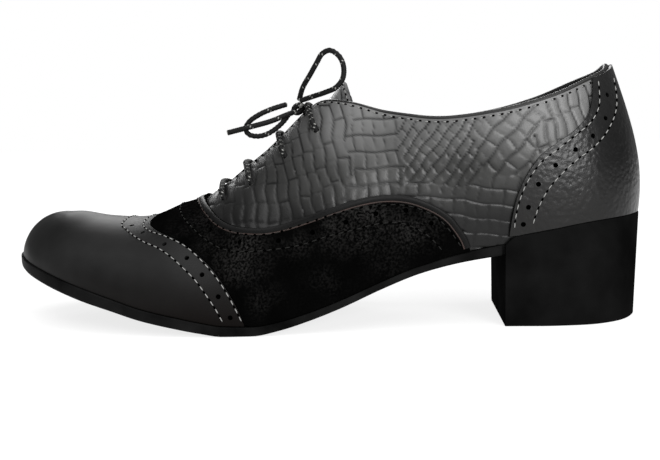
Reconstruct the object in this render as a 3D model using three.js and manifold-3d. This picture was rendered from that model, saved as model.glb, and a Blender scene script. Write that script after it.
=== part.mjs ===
// A woman's laced oxford on a block heel, the left shoe, standing empty on the floor.
// Millimetres, +Z up. The toe points along -X and the outer side of the foot along -Y.
// The floor is z = 0, and the origin lies on it under the middle of the shoe.
import * as THREE from "three";
import { mergeVertices } from "three/addons/utils/BufferGeometryUtils.js";
import Module from "manifold-3d";

const wasm = await Module();
wasm.setup();

// Main sizes
const LENGTH = 256; // toe tip of the sole to the back of the heel
const BALL_WIDTH = 83; // the upper where it meets the sole, across the ball
const COLLAR_HEIGHT = 60.3; // back of the collar above the sole
const SEAT_HEIGHT = 35.2; // underside of the sole at the back of the heel
const TOE_SPRING = 22.8; // underside of the sole at the toe tip

// Thicknesses
const WALL = 2; // upper with its lining
const OVERLAY = 1.2; // toe cap, vamp and counter leather
const SOLE_THICKNESS = 4.2;
const INSOLE_THICKNESS = 2;
const TONGUE_THICKNESS = 1.8;
const RIM_THICKNESS = 1.7; // heel cup beside the upper
const GAP = 0.3; // between pieces that touch

// Edges and fittings
const SOLE_LEDGE = 0.8; // sole beyond the toe cap and vamp
const WAIST_LEDGE = 1; // sole beyond the bare quarter, before the heel
const SOLE_ROUND = 0.6; // rounding of the sole's edge
const BREAST_SHARE = 0.78125; // front face of the heel from the toe tip, as a share of LENGTH
const BREAST_AT = BREAST_SHARE * LENGTH;
const RIM_HEIGHT = 2.4; // heel cup above the sole
const RIM_RUN = 3; // length in which the cup's rim rises from the sole
const RIM_LEAN = 0.5; // the cup opens by this up to its rim, as the counter leans out
const HEEL_TAPER = 1.5; // heel narrows by this on each side down to the floor
const TONGUE_CLEARANCE = 1.05; // tongue below the lining, clear of its flat facets
const TONGUE_REACH = 15; // tongue past the front corner of the collar
const LACE_DIAMETER = 2.1;
const EYELET_INSET = 16.5; // eyelet from the facing's edge, along the leather
const EYELET_DIAMETER = 3;

// Fineness of the shapes
const MERGE = 1e-4; // points nearer than this are one point
const ABOVE = 2 * COLLAR_HEIGHT; // clear of the whole shoe
const LOWER_STEP = 4; // length of one side of a panel's lower edge
const BREAST_STEP = 0.04; // part of a row in which the sole's edge steps in at the heel
const EYELET_STEP = 0.005; // step down a profile line while an eyelet is placed

const FRONT = -LENGTH / 2;
const THROAT = 6; // row of the table below where the vamp ends and the facings part
const CORNER = 10; // row where the facing turns into the collar
const CAP_LAST_ROW = THROAT + 1; // clear of the rear end of the toe cap
const VAMP_ROWS = { from: 3, to: 14 }; // clear of both ends of the vamp
const COUNTER_FIRST_ROW = 13; // clear of the front end of the counter
const WAIST_ROWS = { from: 11, to: 13 }; // rows in which the sole's ledge narrows to the waist's

// Underside of the sole. Lengths are shares: along and each height of the named size in its head.
// along of LENGTH from the toe, spring of TOE_SPRING, arch of SEAT_HEIGHT, thick of SOLE_THICKNESS.
const SOLE_LINE = [
  { along: 0.0, spring: 1.0, arch: 0, thick: 1.08 },
  { along: 0.043, spring: 0.868, arch: 0, thick: 1.18 },
  { along: 0.094, spring: 0.706, arch: 0, thick: 1.24 },
  { along: 0.148, spring: 0.539, arch: 0, thick: 1.22 },
  { along: 0.199, spring: 0.395, arch: 0, thick: 1.12 },
  { along: 0.246, spring: 0.25, arch: 0, thick: 1.06 },
  { along: 0.297, spring: 0.132, arch: 0, thick: 1.02 },
  { along: 0.34, spring: 0.046, arch: 0, thick: 0.96 },
  { along: 0.37, spring: 0, arch: 0, thick: 0.92 },
  { along: 0.412, spring: 0, arch: 0, thick: 0.84 },
  { along: 0.453, spring: 0, arch: 0.05, thick: 0.78 },
  { along: 0.492, spring: 0, arch: 0.131, thick: 0.74 },
  { along: 0.539, spring: 0, arch: 0.256, thick: 0.72 },
  { along: 0.598, spring: 0, arch: 0.437, thick: 0.68 },
  { along: 0.656, spring: 0, arch: 0.591, thick: 0.7 },
  { along: 0.715, spring: 0, arch: 0.694, thick: 0.86 },
  { along: 0.773, spring: 0, arch: 0.766, thick: 0.94 },
  { along: 0.844, spring: 0, arch: 0.866, thick: 0.88 },
  { along: 0.914, spring: 0, arch: 0.952, thick: 0.86 },
  { along: 1.0, spring: 0, arch: 1.0, thick: 0.86 },
];

// Profile lines of the upper, from the sole's edge up to the ridge, facing or collar.
// along and top are shares of LENGTH from the toe, at the foot and the head of the line.
// outer, inner, centre and spread are shares of BALL_WIDTH: the foot on either side, the middle
// of the two heads, and half the opening between them. height is a share of COLLAR_HEIGHT above
// the sole. lean and crown are degrees: outward at the foot, and up from level at the head.
// rise and handle say how far the line keeps those directions. steps is its count of columns.
const LINES = [
  { along: 0.014, outer: -0.06, inner: 0.06, top: 0.086, height: 0.337, centre: 0.05, spread: 0,
    lean: -6, rise: 0.5, crown: 0, handle: 0.6, steps: 3 },
  { along: 0.04, outer: 0.135, inner: 0.235, top: 0.092, height: 0.343, centre: 0.05, spread: 0,
    lean: -2, rise: 0.52, crown: 0, handle: 0.58, steps: 3 },
  { along: 0.086, outer: 0.275, inner: 0.36, top: 0.115, height: 0.366, centre: 0.045, spread: 0,
    lean: 4, rise: 0.54, crown: 0, handle: 0.56, steps: 2 },
  { along: 0.148, outer: 0.385, inner: 0.44, top: 0.157, height: 0.385, centre: 0.04, spread: 0,
    lean: 8, rise: 0.55, crown: 0, handle: 0.56, steps: 3 },
  { along: 0.227, outer: 0.46, inner: 0.487, top: 0.223, height: 0.464, centre: 0.03, spread: 0,
    lean: 12, rise: 0.55, crown: 0, handle: 0.56, steps: 3 },
  { along: 0.305, outer: 0.495, inner: 0.493, top: 0.281, height: 0.612, centre: 0.02, spread: 0,
    lean: 14, rise: 0.52, crown: 0, handle: 0.56, steps: 2 },
  { along: 0.363, outer: 0.5, inner: 0.475, top: 0.318, height: 0.7, centre: 0.015, spread: 0,
    lean: 13, rise: 0.5, crown: 0, handle: 0.56, steps: 2 },
  { along: 0.414, outer: 0.49, inner: 0.437, top: 0.371, height: 0.893, centre: 0.01, spread: 0.045,
    lean: 11, rise: 0.46, crown: 10, handle: 0.58, steps: 3 },
  { along: 0.492, outer: 0.443, inner: 0.367, top: 0.437, height: 1.113, centre: 0.005,
    spread: 0.062, lean: 8, rise: 0.42, crown: 16, handle: 0.58, steps: 2 },
  { along: 0.539, outer: 0.42, inner: 0.325, top: 0.484, height: 1.252, centre: 0.002,
    spread: 0.082, lean: 7, rise: 0.4, crown: 20, handle: 0.56, steps: 2 },
  { along: 0.57, outer: 0.4, inner: 0.3, top: 0.509, height: 1.283, centre: 0, spread: 0.105,
    lean: 7, rise: 0.38, crown: 26, handle: 0.52, steps: 2 },
  { along: 0.609, outer: 0.368, inner: 0.288, top: 0.551, height: 1.203, centre: 0,
    spread: 0.195, lean: 8, rise: 0.36, crown: 45, handle: 0.42, steps: 2 },
  { along: 0.656, outer: 0.343, inner: 0.283, top: 0.609, height: 1.033, centre: 0.002,
    spread: 0.27, lean: 9, rise: 0.34, crown: 62, handle: 0.36, steps: 2 },
  { along: 0.719, outer: 0.323, inner: 0.293, top: 0.688, height: 0.873, centre: 0.004,
    spread: 0.32, lean: 10, rise: 0.33, crown: 78, handle: 0.34, steps: 3 },
  { along: 0.789, outer: 0.317, inner: 0.313, top: 0.773, height: 0.832, centre: 0.006,
    spread: 0.325, lean: 9, rise: 0.33, crown: 80, handle: 0.34, steps: 3 },
  { along: 0.859, outer: 0.313, inner: 0.319, top: 0.852, height: 0.858, centre: 0.01,
    spread: 0.292, lean: 8, rise: 0.34, crown: 78, handle: 0.36, steps: 3 },
  { along: 0.922, outer: 0.268, inner: 0.277, top: 0.906, height: 0.914, centre: 0.012,
    spread: 0.216, lean: 8, rise: 0.35, crown: 75, handle: 0.4, steps: 3 },
  { along: 0.967, outer: 0.157, inner: 0.169, top: 0.938, height: 0.96, centre: 0.012,
    spread: 0.108, lean: 8, rise: 0.35, crown: 72, handle: 0.44, steps: 3 },
  { along: 0.989, outer: -0.012, inner: 0.012, top: 0.948, height: 1., centre: 0.012, spread: 0,
    lean: 8, rise: 0.35, crown: 71, handle: 0.46, steps: 0 },
];
const LAST = LINES.length - 1;
const ROWS = 8; // steps up each profile line

// Edges of the panels in side view, from the top down. along is a share of LENGTH from the toe,
// height a share of COLLAR_HEIGHT above the sole. Both sides of the shoe have the same edges.
const CAP_EDGE = [
  { along: 0.245, height: 0.561 }, { along: 0.237, height: 0.491 }, { along: 0.24, height: 0.48 },
  { along: 0.255, height: 0.472 }, { along: 0.298, height: 0.457 }, { along: 0.333, height: 0.403 },
  { along: 0.357, height: 0.336 }, { along: 0.378, height: 0.229 }, { along: 0.395, height: 0.098 },
  { along: 0.405, height: -0.034 },
];
const VAMP_EDGE = [
  { along: 0.316, height: 0.792 }, { along: 0.322, height: 0.724 }, { along: 0.344, height: 0.67 },
  { along: 0.361, height: 0.636 }, { along: 0.382, height: 0.609 }, { along: 0.403, height: 0.6 },
  { along: 0.433, height: 0.592 }, { along: 0.463, height: 0.588 }, { along: 0.499, height: 0.59 },
  { along: 0.536, height: 0.586 }, { along: 0.57, height: 0.569 }, { along: 0.599, height: 0.538 },
  { along: 0.623, height: 0.499 }, { along: 0.646, height: 0.448 }, { along: 0.666, height: 0.391 },
  { along: 0.685, height: 0.326 }, { along: 0.702, height: 0.25 }, { along: 0.715, height: 0.165 },
  { along: 0.724, height: 0.095 }, { along: 0.729, height: 0.03 }, { along: 0.733, height: -0.06 },
];
const COUNTER_EDGE = [
  { along: 0.913, height: 1.06 }, { along: 0.912, height: 0.909 }, { along: 0.91, height: 0.811 },
  { along: 0.902, height: 0.699 }, { along: 0.88, height: 0.617 }, { along: 0.855, height: 0.569 },
  { along: 0.83, height: 0.505 }, { along: 0.812, height: 0.414 }, { along: 0.798, height: 0.292 },
  { along: 0.791, height: 0.172 }, { along: 0.786, height: 0.025 }, { along: 0.784, height: -0.039 },
];

// Eyelets, as shares of the way from the throat to the corner in rows of LINES.
const EYELETS = [0.16, 0.32, 0.54, 0.82];

// Tongue sections: the row of LINES whose lining they lie under, the place of their edge on that
// line, and the share of TONGUE_REACH that their middle and edges have gone past the collar.
// fullness is the power of the arch: 2 is a parabola, and less is steeper beside the middle.
const TONGUE = [
  { row: 5.2, edge: 0.8, middle: 0, side: 0, fullness: 2 },
  { row: 5.8, edge: 0.8, middle: 0, side: 0, fullness: 2 },
  { row: 6.4, edge: 0.8, middle: 0, side: 0, fullness: 2 },
  { row: 7, edge: 0.8, middle: 0, side: 0, fullness: 2 },
  { row: 7.6, edge: 0.8, middle: 0, side: 0, fullness: 2 },
  { row: 8.2, edge: 0.8, middle: 0, side: 0, fullness: 2 },
  { row: 8.8, edge: 0.82, middle: 0, side: 0, fullness: 2 },
  { row: 9.4, edge: 0.83, middle: 0, side: 0, fullness: 2 },
  { row: 10, edge: 0.85, middle: 0.3, side: 0, fullness: 1.8 },
  { row: 10.5, edge: 0.88, middle: 0.58, side: 0, fullness: 1.65 },
  { row: 11, edge: 0.89, middle: 0.84, side: 0, fullness: 1.6 },
  { row: 11.1, edge: 0.93, middle: 1, side: 0.04, fullness: 1.6 },
];
const TONGUE_SPAN = 4; // steps from the middle of the tongue to each edge
const TONGUE_RISE = 50; // degrees up from level where the tongue stands free
const TONGUE_LEAVES = 9.6; // row of LINES where its middle leaves the facings

// Centre lines of the bow, chosen by hand.
const KNOT = { middle: [-7.3, -2.5, 83.9], along: 3, across: 4.2, thick: 2.4, rise: 38 };
const LOOP_UP = [
  [-7.0, -1.4, 87.5], [-5.2, -4.0, 92.2], [-1.6, -7.5, 97.4], [1.1, -9.0, 101.6],
  [3.3, -10.0, 104.8], [6.5, -11.0, 106.0], [10.2, -12.0, 103.4], [11.8, -13.0, 99.2],
  [11.3, -13.4, 94.8], [8.6, -13.0, 91.6], [4.3, -11.2, 89.9], [-0.6, -8.0, 88.6],
  [-6.2, -5.8, 87.0],
];
const LOOP_FRONT = [
  [-11.9, -4.9, 85.7], [-14.2, -6.6, 85.0], [-18.4, -8.0, 83.6], [-22.6, -8.8, 81.7],
  [-26.2, -9.2, 79.2], [-27.8, -9.2, 76.4], [-26.6, -8.8, 74.2], [-23.0, -8.4, 73.4],
  [-19.0, -7.8, 74.4], [-15.4, -6.4, 76.8], [-12.6, -3.8, 79.8], [-11.1, -1.2, 82.4],
];
const END_NEAR = [
  [-8.8, -6.5, 82.6], [-12.2, -9.8, 81.2], [-17.2, -12.4, 79.2], [-25.0, -13.4, 77.2],
  [-34.4, -13.4, 75.0],
];
const END_FAR = [
  [-7.3, 2.2, 84.4], [-6.6, 7.0, 84.6], [-5.7, 12.0, 81.4], [-5.8, 16.4, 75.9],
  [-6.4, 20.8, 68.3], [-7.5, 24.2, 61.1], [-9.0, 27.2, 53.6],
];
const LACE_SIDES = 8;
const KNOT_SIDES = 12;
const KNOT_RINGS = 8;
const LACE_STEP = 5.5; // length of one step of a lace tube

// Curve through a table whose values keep level where two rows are alike.
function levelCurve(table, key, at) {
  const last = table.length - 1;
  const place = Math.min(Math.max(at, table[0].along), table[last].along);
  let i = 0;
  while (i < last - 1 && table[i + 1].along < place) i += 1;
  const slope = (k) => (table[k + 1][key] - table[k][key]) / (table[k + 1].along - table[k].along);
  const tangent = (k) => {
    if (k === 0) return slope(0);
    if (k === last) return slope(last - 1);
    const before = slope(k - 1);
    const after = slope(k);
    return before * after <= 0 ? 0 : (2 * before * after) / (before + after);
  };
  const step = table[i + 1].along - table[i].along;
  return hermite(table[i][key], table[i + 1][key], tangent(i) * step, tangent(i + 1) * step,
    (place - table[i].along) / step);
}

function hermite(a, b, leaveA, reachB, t) {
  const t2 = t * t;
  const t3 = t2 * t;
  return a * (2 * t3 - 3 * t2 + 1) + leaveA * (t3 - 2 * t2 + t) + b * (3 * t2 - 2 * t3)
    + reachB * (t3 - t2);
}

const toX = (share) => FRONT + share * LENGTH;
const toShare = (x) => (x - FRONT) / LENGTH;

function soleBottom(x) {
  const along = toShare(x);
  return levelCurve(SOLE_LINE, "spring", along) * TOE_SPRING
    + levelCurve(SOLE_LINE, "arch", along) * SEAT_HEIGHT;
}

function soleTop(x) {
  return soleBottom(x) + levelCurve(SOLE_LINE, "thick", toShare(x)) * SOLE_THICKNESS;
}

// Values of a profile line, where side is -1 for the outer side of the foot and 1 for the inner.
// Rows before the toe and behind the heel are those of the other side, so the loop closes.
function rowValue(index, side, key) {
  if (index < 0) return rowValue(-index, -side, key);
  if (index > LAST) return rowValue(2 * LAST - index, -side, key);
  const row = LINES[index];
  if (key === "footY") return side * (side < 0 ? row.outer : row.inner);
  if (key === "spread") return side * row.spread;
  return row[key];
}

function rowDistance(index) {
  const from = Math.min(index, LAST - 1);
  const a = LINES[Math.max(from, 0)];
  const b = LINES[Math.max(from, 0) + 1];
  const width = ((a.outer - b.outer) * BALL_WIDTH + (a.inner - b.inner) * BALL_WIDTH) / 2;
  return Math.hypot((b.along - a.along) * LENGTH, width);
}

function lineValue(s, side, key) {
  if (s < 0) return lineValue(-s, -side, key);
  if (s > LAST) return lineValue(2 * LAST - s, -side, key);
  const i = Math.min(Math.floor(s), LAST - 1);
  const here = rowDistance(i);
  const before = i === 0 ? here : rowDistance(i - 1);
  const after = i === LAST - 1 ? here : rowDistance(i + 1);
  const v = [-1, 0, 1, 2].map((k) => rowValue(i + k, side, key));
  const tangent = (d0, d1, a, b, c) => (((b - a) / d0) * d1 + ((c - b) / d1) * d0) / (d0 + d1);
  return hermite(v[1], v[2], tangent(before, here, v[0], v[1], v[2]) * here,
    tangent(here, after, v[1], v[2], v[3]) * here, s - i);
}

function foot(s, side) {
  const x = toX(lineValue(s, side, "along"));
  return new THREE.Vector3(x, lineValue(s, side, "footY") * BALL_WIDTH, soleTop(x) + GAP);
}

function head(s, side) {
  const x = toX(lineValue(s, side, "top"));
  const spread = s <= THROAT ? 0 : lineValue(s, side, "spread");
  const y = (lineValue(s, side, "centre") + spread) * BALL_WIDTH;
  return new THREE.Vector3(x, y, soleTop(x) + lineValue(s, side, "height") * COLLAR_HEIGHT);
}

// Level direction out of the shoe at the foot of a line.
function outward(s, side) {
  const nudge = 0.02;
  const from = foot(s - nudge, side);
  const along = foot(s + nudge, side).sub(from);
  return new THREE.Vector3(side * -along.y, side * along.x, 0).normalize();
}

// Slope of the vamp's ridge, where the lines of both sides meet.
function ridgeSlope(s, side) {
  const nudge = 0.5;
  const a = head(Math.max(Math.min(s, THROAT) - nudge, 0), side);
  const b = head(Math.min(s + nudge, THROAT), side);
  return (b.z - a.z) / (b.x - a.x);
}

function profileLine(s, side) {
  const start = foot(s, side);
  const end = head(s, side);
  const out = outward(s, side);
  const lean = THREE.MathUtils.degToRad(lineValue(s, side, "lean"));
  const crown = THREE.MathUtils.degToRad(lineValue(s, side, "crown"));
  const height = end.z - start.z;
  const width = Math.hypot(end.x - start.x, end.y - start.y);
  const leave = new THREE.Vector3(0, 0, Math.cos(lean)).addScaledVector(out, Math.sin(lean));
  const arrive = out.clone().multiplyScalar(-Math.cos(crown));
  const onRidge = 1 - THREE.MathUtils.smoothstep(s, THROAT, THROAT + 1);
  arrive.z = Math.sin(crown) + onRidge * arrive.x * ridgeSlope(s, side);
  const reach = lineValue(s, side, "handle") * (width * Math.cos(crown) + height * Math.sin(crown));
  return new THREE.CubicBezierCurve3(
    start,
    start.clone().addScaledVector(leave, lineValue(s, side, "rise") * height),
    end.clone().addScaledVector(arrive, -reach),
    end,
  );
}

// Point of the upper's outer surface, t from 0 at the sole to 1 at the top, moved out by offset.
// The lines at the toe tip and the back of the heel belong to both sides, and are worked out once.
function upperPoint(s, side, t, offset = 0) {
  const owner = s === 0 || s === LAST ? -1 : side;
  const point = profileLine(s, owner).getPoint(t);
  if (offset === 0) return point;
  return point.addScaledVector(surfaceNormal(s, owner, t), offset);
}

function surfaceNormal(s, side, t) {
  if (t === 1 && s <= THROAT) {
    return new THREE.Vector3(-ridgeSlope(s, side), 0, 1).normalize();
  }
  const nudge = 0.02;
  const alongLoop = profileLine(s + nudge, side).getPoint(t)
    .sub(profileLine(s - nudge, side).getPoint(t));
  const upLine = profileLine(s, side).getTangent(t);
  const normal = alongLoop.cross(upLine).multiplyScalar(-side);
  if (t === 0) normal.z = 0;
  return normal.normalize();
}

// Columns of the loop between two stations, those of the table with its steps.
function stationsBetween(from, to) {
  const all = [];
  LINES.forEach((row, i) => {
    for (let k = 0; k < row.steps; k += 1) all.push(i + k / row.steps);
  });
  const clear = 0.1;
  return [from, ...all.filter((s) => s > from + clear && s < to - clear), to];
}

function stationAt(x) {
  let low = 0;
  let high = LAST;
  for (let i = 0; i < 40; i += 1) {
    const middle = (low + high) / 2;
    if (foot(middle, -1).x < x) low = middle;
    else high = middle;
  }
  return (low + high) / 2;
}

// Collects faces as loose triangles, and closes them up into one geometry.
class Faces {
  constructor() {
    this.values = [];
  }
  triangle(a, b, c) {
    if (a.distanceTo(b) < MERGE || b.distanceTo(c) < MERGE || c.distanceTo(a) < MERGE) return;
    [a, b, c].forEach((p) => this.values.push(p.x, p.y, p.z));
  }
  quad(a, b, c, d) {
    this.triangle(a, b, c);
    this.triangle(a, c, d);
  }
  geometry() {
    const loose = new THREE.BufferGeometry();
    loose.setAttribute("position", new THREE.Float32BufferAttribute(this.values, 3));
    return mergeVertices(loose, MERGE);
  }
}

function toSolid(geometry) {
  const bare = geometry.clone();
  bare.deleteAttribute("normal");
  bare.deleteAttribute("uv");
  const merged = mergeVertices(bare, MERGE);
  return new wasm.Manifold(new wasm.Mesh({
    numProp: 3,
    vertProperties: new Float32Array(merged.attributes.position.array),
    triVerts: new Uint32Array(merged.index.array),
  }));
}

function toGeometry(solid) {
  const mesh = solid.getMesh();
  const geometry = new THREE.BufferGeometry();
  geometry.setAttribute("position", new THREE.BufferAttribute(mesh.vertProperties, 3));
  geometry.setIndex(new THREE.BufferAttribute(mesh.triVerts, 1));
  return geometry;
}

// Closed skin of the upper between two stations and two offsets, on both sides of the shoe.
function skin(from, to, low, high) {
  const faces = new Faces();
  const stations = stationsBetween(from, to);
  [-1, 1].forEach((side) => {
    const grid = (offset) => stations.map((s) => {
      const column = [];
      for (let i = 0; i <= ROWS; i += 1) column.push(upperPoint(s, side, i / ROWS, offset));
      return column;
    });
    const outer = grid(high);
    const inner = grid(low);
    const add = (a, b, c, d) => (side < 0 ? faces.quad(a, b, c, d) : faces.quad(d, c, b, a));
    for (let j = 0; j + 1 < stations.length; j += 1) {
      for (let i = 0; i < ROWS; i += 1) {
        add(outer[j][i], outer[j + 1][i], outer[j + 1][i + 1], outer[j][i + 1]);
        add(inner[j][i], inner[j][i + 1], inner[j + 1][i + 1], inner[j + 1][i]);
      }
      add(inner[j][0], inner[j + 1][0], outer[j + 1][0], outer[j][0]);
      if (stations[j] >= THROAT) {
        add(outer[j][ROWS], outer[j + 1][ROWS], inner[j + 1][ROWS], inner[j][ROWS]);
      }
    }
    const close = (j, turned) => {
      for (let i = 0; i < ROWS; i += 1) {
        const rim = [inner[j][i], outer[j][i], outer[j][i + 1], inner[j][i + 1]];
        if (turned) rim.reverse();
        add(...rim);
      }
    };
    if (from > 0) close(0, false);
    if (to < LAST) close(stations.length - 1, true);
  });
  return faces.geometry();
}

function plainMaterial(color, roughness) {
  return new THREE.MeshStandardMaterial({ color, roughness, metalness: 0 });
}

const shoe = new THREE.Group();

function addPiece(name, geometry, material) {
  geometry.computeVertexNormals();
  const mesh = new THREE.Mesh(geometry, material);
  mesh.name = name;
  shoe.add(mesh);
}

// Plate whose rings follow the loop. Each ring has an inset and a lift above a line of the sole.
function plate(from, to, edgeAt, rings, extra = []) {
  const faces = new Faces();
  const stations = [...stationsBetween(from, to), ...extra].sort((a, b) => a - b);
  const ringPoints = rings.map((ring) => [-1, 1].map((side) => stations.map((s) => {
    const point = foot(s, side).addScaledVector(outward(s, side), edgeAt(s) - ring.inset);
    point.z = ring.line(point.x) + ring.lift;
    return point;
  })));
  for (let j = 0; j + 1 < stations.length; j += 1) {
    const [bottomOuter, bottomInner] = ringPoints[0];
    const [topOuter, topInner] = ringPoints[rings.length - 1];
    faces.quad(bottomOuter[j], bottomInner[j], bottomInner[j + 1], bottomOuter[j + 1]);
    faces.quad(topOuter[j], topOuter[j + 1], topInner[j + 1], topInner[j]);
    for (let r = 0; r + 1 < rings.length; r += 1) {
      const [lowOuter, lowInner] = ringPoints[r];
      const [highOuter, highInner] = ringPoints[r + 1];
      faces.quad(lowOuter[j], lowOuter[j + 1], highOuter[j + 1], highOuter[j]);
      faces.quad(lowInner[j + 1], lowInner[j], highInner[j], highInner[j + 1]);
    }
  }
  if (from > 0) {
    for (let r = 0; r + 1 < rings.length; r += 1) {
      const [lowOuter, lowInner] = ringPoints[r];
      const [highOuter, highInner] = ringPoints[r + 1];
      faces.quad(lowInner[0], lowOuter[0], highOuter[0], highInner[0]);
    }
  }
  return faces.geometry();
}

// Middle of an eyelet, found down its profile line from the facing.
function eyeletPlace(share) {
  const s = THROAT + share * (CORNER - THROAT);
  const edge = upperPoint(s, -1, 1);
  let t = 1;
  while (edge.distanceTo(upperPoint(s, -1, t)) < EYELET_INSET) t -= EYELET_STEP;
  return { s, t };
}

const eyelets = EYELETS.map(eyeletPlace);

// Tool that punches an eyelet through the wall.
function eyeletPunch({ s, t }, side) {
  const from = upperPoint(s, side, t, -2 * WALL);
  const to = upperPoint(s, side, t, WALL);
  const punch = new THREE.CylinderGeometry(
    EYELET_DIAMETER / 2, EYELET_DIAMETER / 2, from.distanceTo(to), LACE_SIDES,
  );
  const turn = new THREE.Quaternion().setFromUnitVectors(
    new THREE.Vector3(0, 1, 0), to.clone().sub(from).normalize(),
  );
  punch.applyQuaternion(turn);
  const middle = from.add(to).multiplyScalar(0.5);
  punch.translate(middle.x, middle.y, middle.z);
  return toSolid(punch);
}

function buildUpper() {
  let shell = toSolid(skin(0, LAST, -WALL, 0));
  eyelets.forEach((place) => {
    shell = shell.subtract(eyeletPunch(place, -1)).subtract(eyeletPunch(place, 1));
  });
  return toGeometry(shell);
}

// Edge of a panel in side view as points of x and height, moved back and up by a gap.
function panelEdge(table, shift = 0) {
  return table.map((row) => {
    const x = toX(row.along);
    return new THREE.Vector2(x + shift, soleTop(x) + row.height * COLLAR_HEIGHT + shift);
  });
}

// Block with the outline given in side view, right through the shoe.
function sideBlock(outline) {
  const depth = 2 * BALL_WIDTH;
  const block = new THREE.ExtrudeGeometry(new THREE.Shape(outline), { depth, bevelEnabled: false });
  block.rotateX(Math.PI / 2);
  block.translate(0, depth / 2, 0);
  return toSolid(block);
}

function buildPanel(from, to, outline) {
  const leather = toSolid(skin(from, to, GAP, GAP + OVERLAY));
  return toGeometry(leather.intersect(sideBlock(outline)));
}

// Points a gap above a line of the sole, from one x to another.
function lowerEdge(line, from, to) {
  const runs = Math.ceil(Math.abs(to - from) / LOWER_STEP);
  const points = [];
  for (let i = 0; i <= runs; i += 1) {
    const x = THREE.MathUtils.lerp(from, to, i / runs);
    points.push(new THREE.Vector2(x, line(x) + GAP));
  }
  return points;
}

function buildToeCap() {
  const edge = panelEdge(CAP_EDGE).slice(0, -1);
  const { x } = panelEdge(CAP_EDGE).at(-1);
  return buildPanel(0, CAP_LAST_ROW, [
    new THREE.Vector2(FRONT, ABOVE), new THREE.Vector2(edge[0].x, ABOVE), ...edge,
    ...lowerEdge(soleTop, x, FRONT),
  ]);
}

function buildVamp() {
  const front = panelEdge(CAP_EDGE, GAP).reverse();
  const back = panelEdge(VAMP_EDGE);
  return buildPanel(VAMP_ROWS.from, VAMP_ROWS.to, [
    new THREE.Vector2(front.at(-1).x, ABOVE), new THREE.Vector2(back[0].x, ABOVE),
    ...back.slice(0, -1), ...lowerEdge(soleTop, back.at(-1).x, front[0].x), ...front.slice(1),
  ]);
}

function rimTop(x) {
  const rise = THREE.MathUtils.clamp((x - FRONT - BREAST_AT) / RIM_RUN, 0, 1);
  return soleTop(x) + rise * RIM_HEIGHT;
}

function buildCounter() {
  const rimX = FRONT + BREAST_AT + RIM_RUN;
  const lowest = rimTop(rimX) + GAP;
  const front = panelEdge(COUNTER_EDGE).filter((point) => point.y > lowest);
  const back = -FRONT + OVERLAY;
  return buildPanel(COUNTER_FIRST_ROW, LAST, [
    new THREE.Vector2(back, ABOVE), new THREE.Vector2(front[0].x, ABOVE), ...front,
    new THREE.Vector2(front.at(-1).x, lowest), ...lowerEdge(rimTop, rimX, back),
  ]);
}

const breast = stationAt(FRONT + BREAST_AT);
const rimStart = stationAt(FRONT + BREAST_AT + RIM_RUN);
const breastStations = [breast - 2 * BREAST_STEP, breast - BREAST_STEP];

function soleEdge(s) {
  if (s >= breast - BREAST_STEP) return 0;
  const toWaist = THREE.MathUtils.smoothstep(s, WAIST_ROWS.from, WAIST_ROWS.to);
  return THREE.MathUtils.lerp(SOLE_LEDGE + GAP + OVERLAY, WAIST_LEDGE, toWaist);
}

function buildOutsole() {
  return plate(0, LAST, soleEdge, [
    { inset: SOLE_ROUND, line: soleBottom, lift: 0 },
    { inset: 0, line: soleBottom, lift: SOLE_ROUND },
    { inset: 0, line: soleTop, lift: 0 },
  ], breastStations);
}

function buildInsole() {
  return plate(0, LAST, () => -(WALL + 2 * GAP), [
    { inset: 0, line: soleTop, lift: GAP },
    { inset: GAP, line: soleTop, lift: GAP + INSOLE_THICKNESS },
  ], breastStations);
}

function buildHeel() {
  const floor = () => 0;
  const block = plate(breast, LAST, () => GAP + RIM_THICKNESS, [
    { inset: HEEL_TAPER, line: floor, lift: 0 },
    { inset: 0, line: rimTop, lift: 0 },
  ], [rimStart]);
  const cup = plate(breast - 1, LAST, () => GAP, [
    { inset: 0, line: soleBottom, lift: -GAP },
    { inset: 0, line: soleTop, lift: 0 },
    { inset: -RIM_LEAN, line: soleTop, lift: RIM_HEIGHT + GAP },
    { inset: -RIM_LEAN, line: soleTop, lift: COLLAR_HEIGHT },
  ], [breast, rimStart]);
  return toGeometry(toSolid(block).subtract(toSolid(cup)));
}

// One section of the tongue, as its points on the upper face and on the lower face.
function tongueSection({ row, edge, middle, side, fullness }) {
  const depth = -(WALL + TONGUE_CLEARANCE);
  const rise = THREE.MathUtils.degToRad(TONGUE_RISE);
  const free = new THREE.Vector3(Math.cos(rise), 0, Math.sin(rise));
  const reach = (share) => free.clone().multiplyScalar(share * TONGUE_REACH);
  const edges = [-1, 1].map((k) => upperPoint(row, k, edge, depth).add(reach(side)));
  const under = Math.min(row, TONGUE_LEAVES);
  const top = [-1, 1].map((k) => upperPoint(under, k, 1, depth));
  const crown = top[0].clone().add(top[1]).multiplyScalar(0.5).add(reach(middle));
  const base = edges[0].clone().add(edges[1]).multiplyScalar(0.5);
  const arch = crown.clone().sub(base);
  const half = edges[1].clone().sub(edges[0]).multiplyScalar(0.5);
  const upper = [];
  const lower = [];
  for (let i = -TONGUE_SPAN; i <= TONGUE_SPAN; i += 1) {
    const u = i / TONGUE_SPAN;
    const fall = Math.abs(u) ** fullness;
    const point = base.clone().addScaledVector(half, u).addScaledVector(arch, 1 - fall);
    const steep = u === 0 ? 0 : (fullness * fall) / u;
    const slope = half.clone().addScaledVector(arch, -steep).normalize();
    const down = arch.clone().addScaledVector(slope, -arch.dot(slope)).normalize();
    upper.push(point);
    lower.push(point.clone().addScaledVector(down, -TONGUE_THICKNESS));
  }
  return { upper, lower };
}

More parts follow.
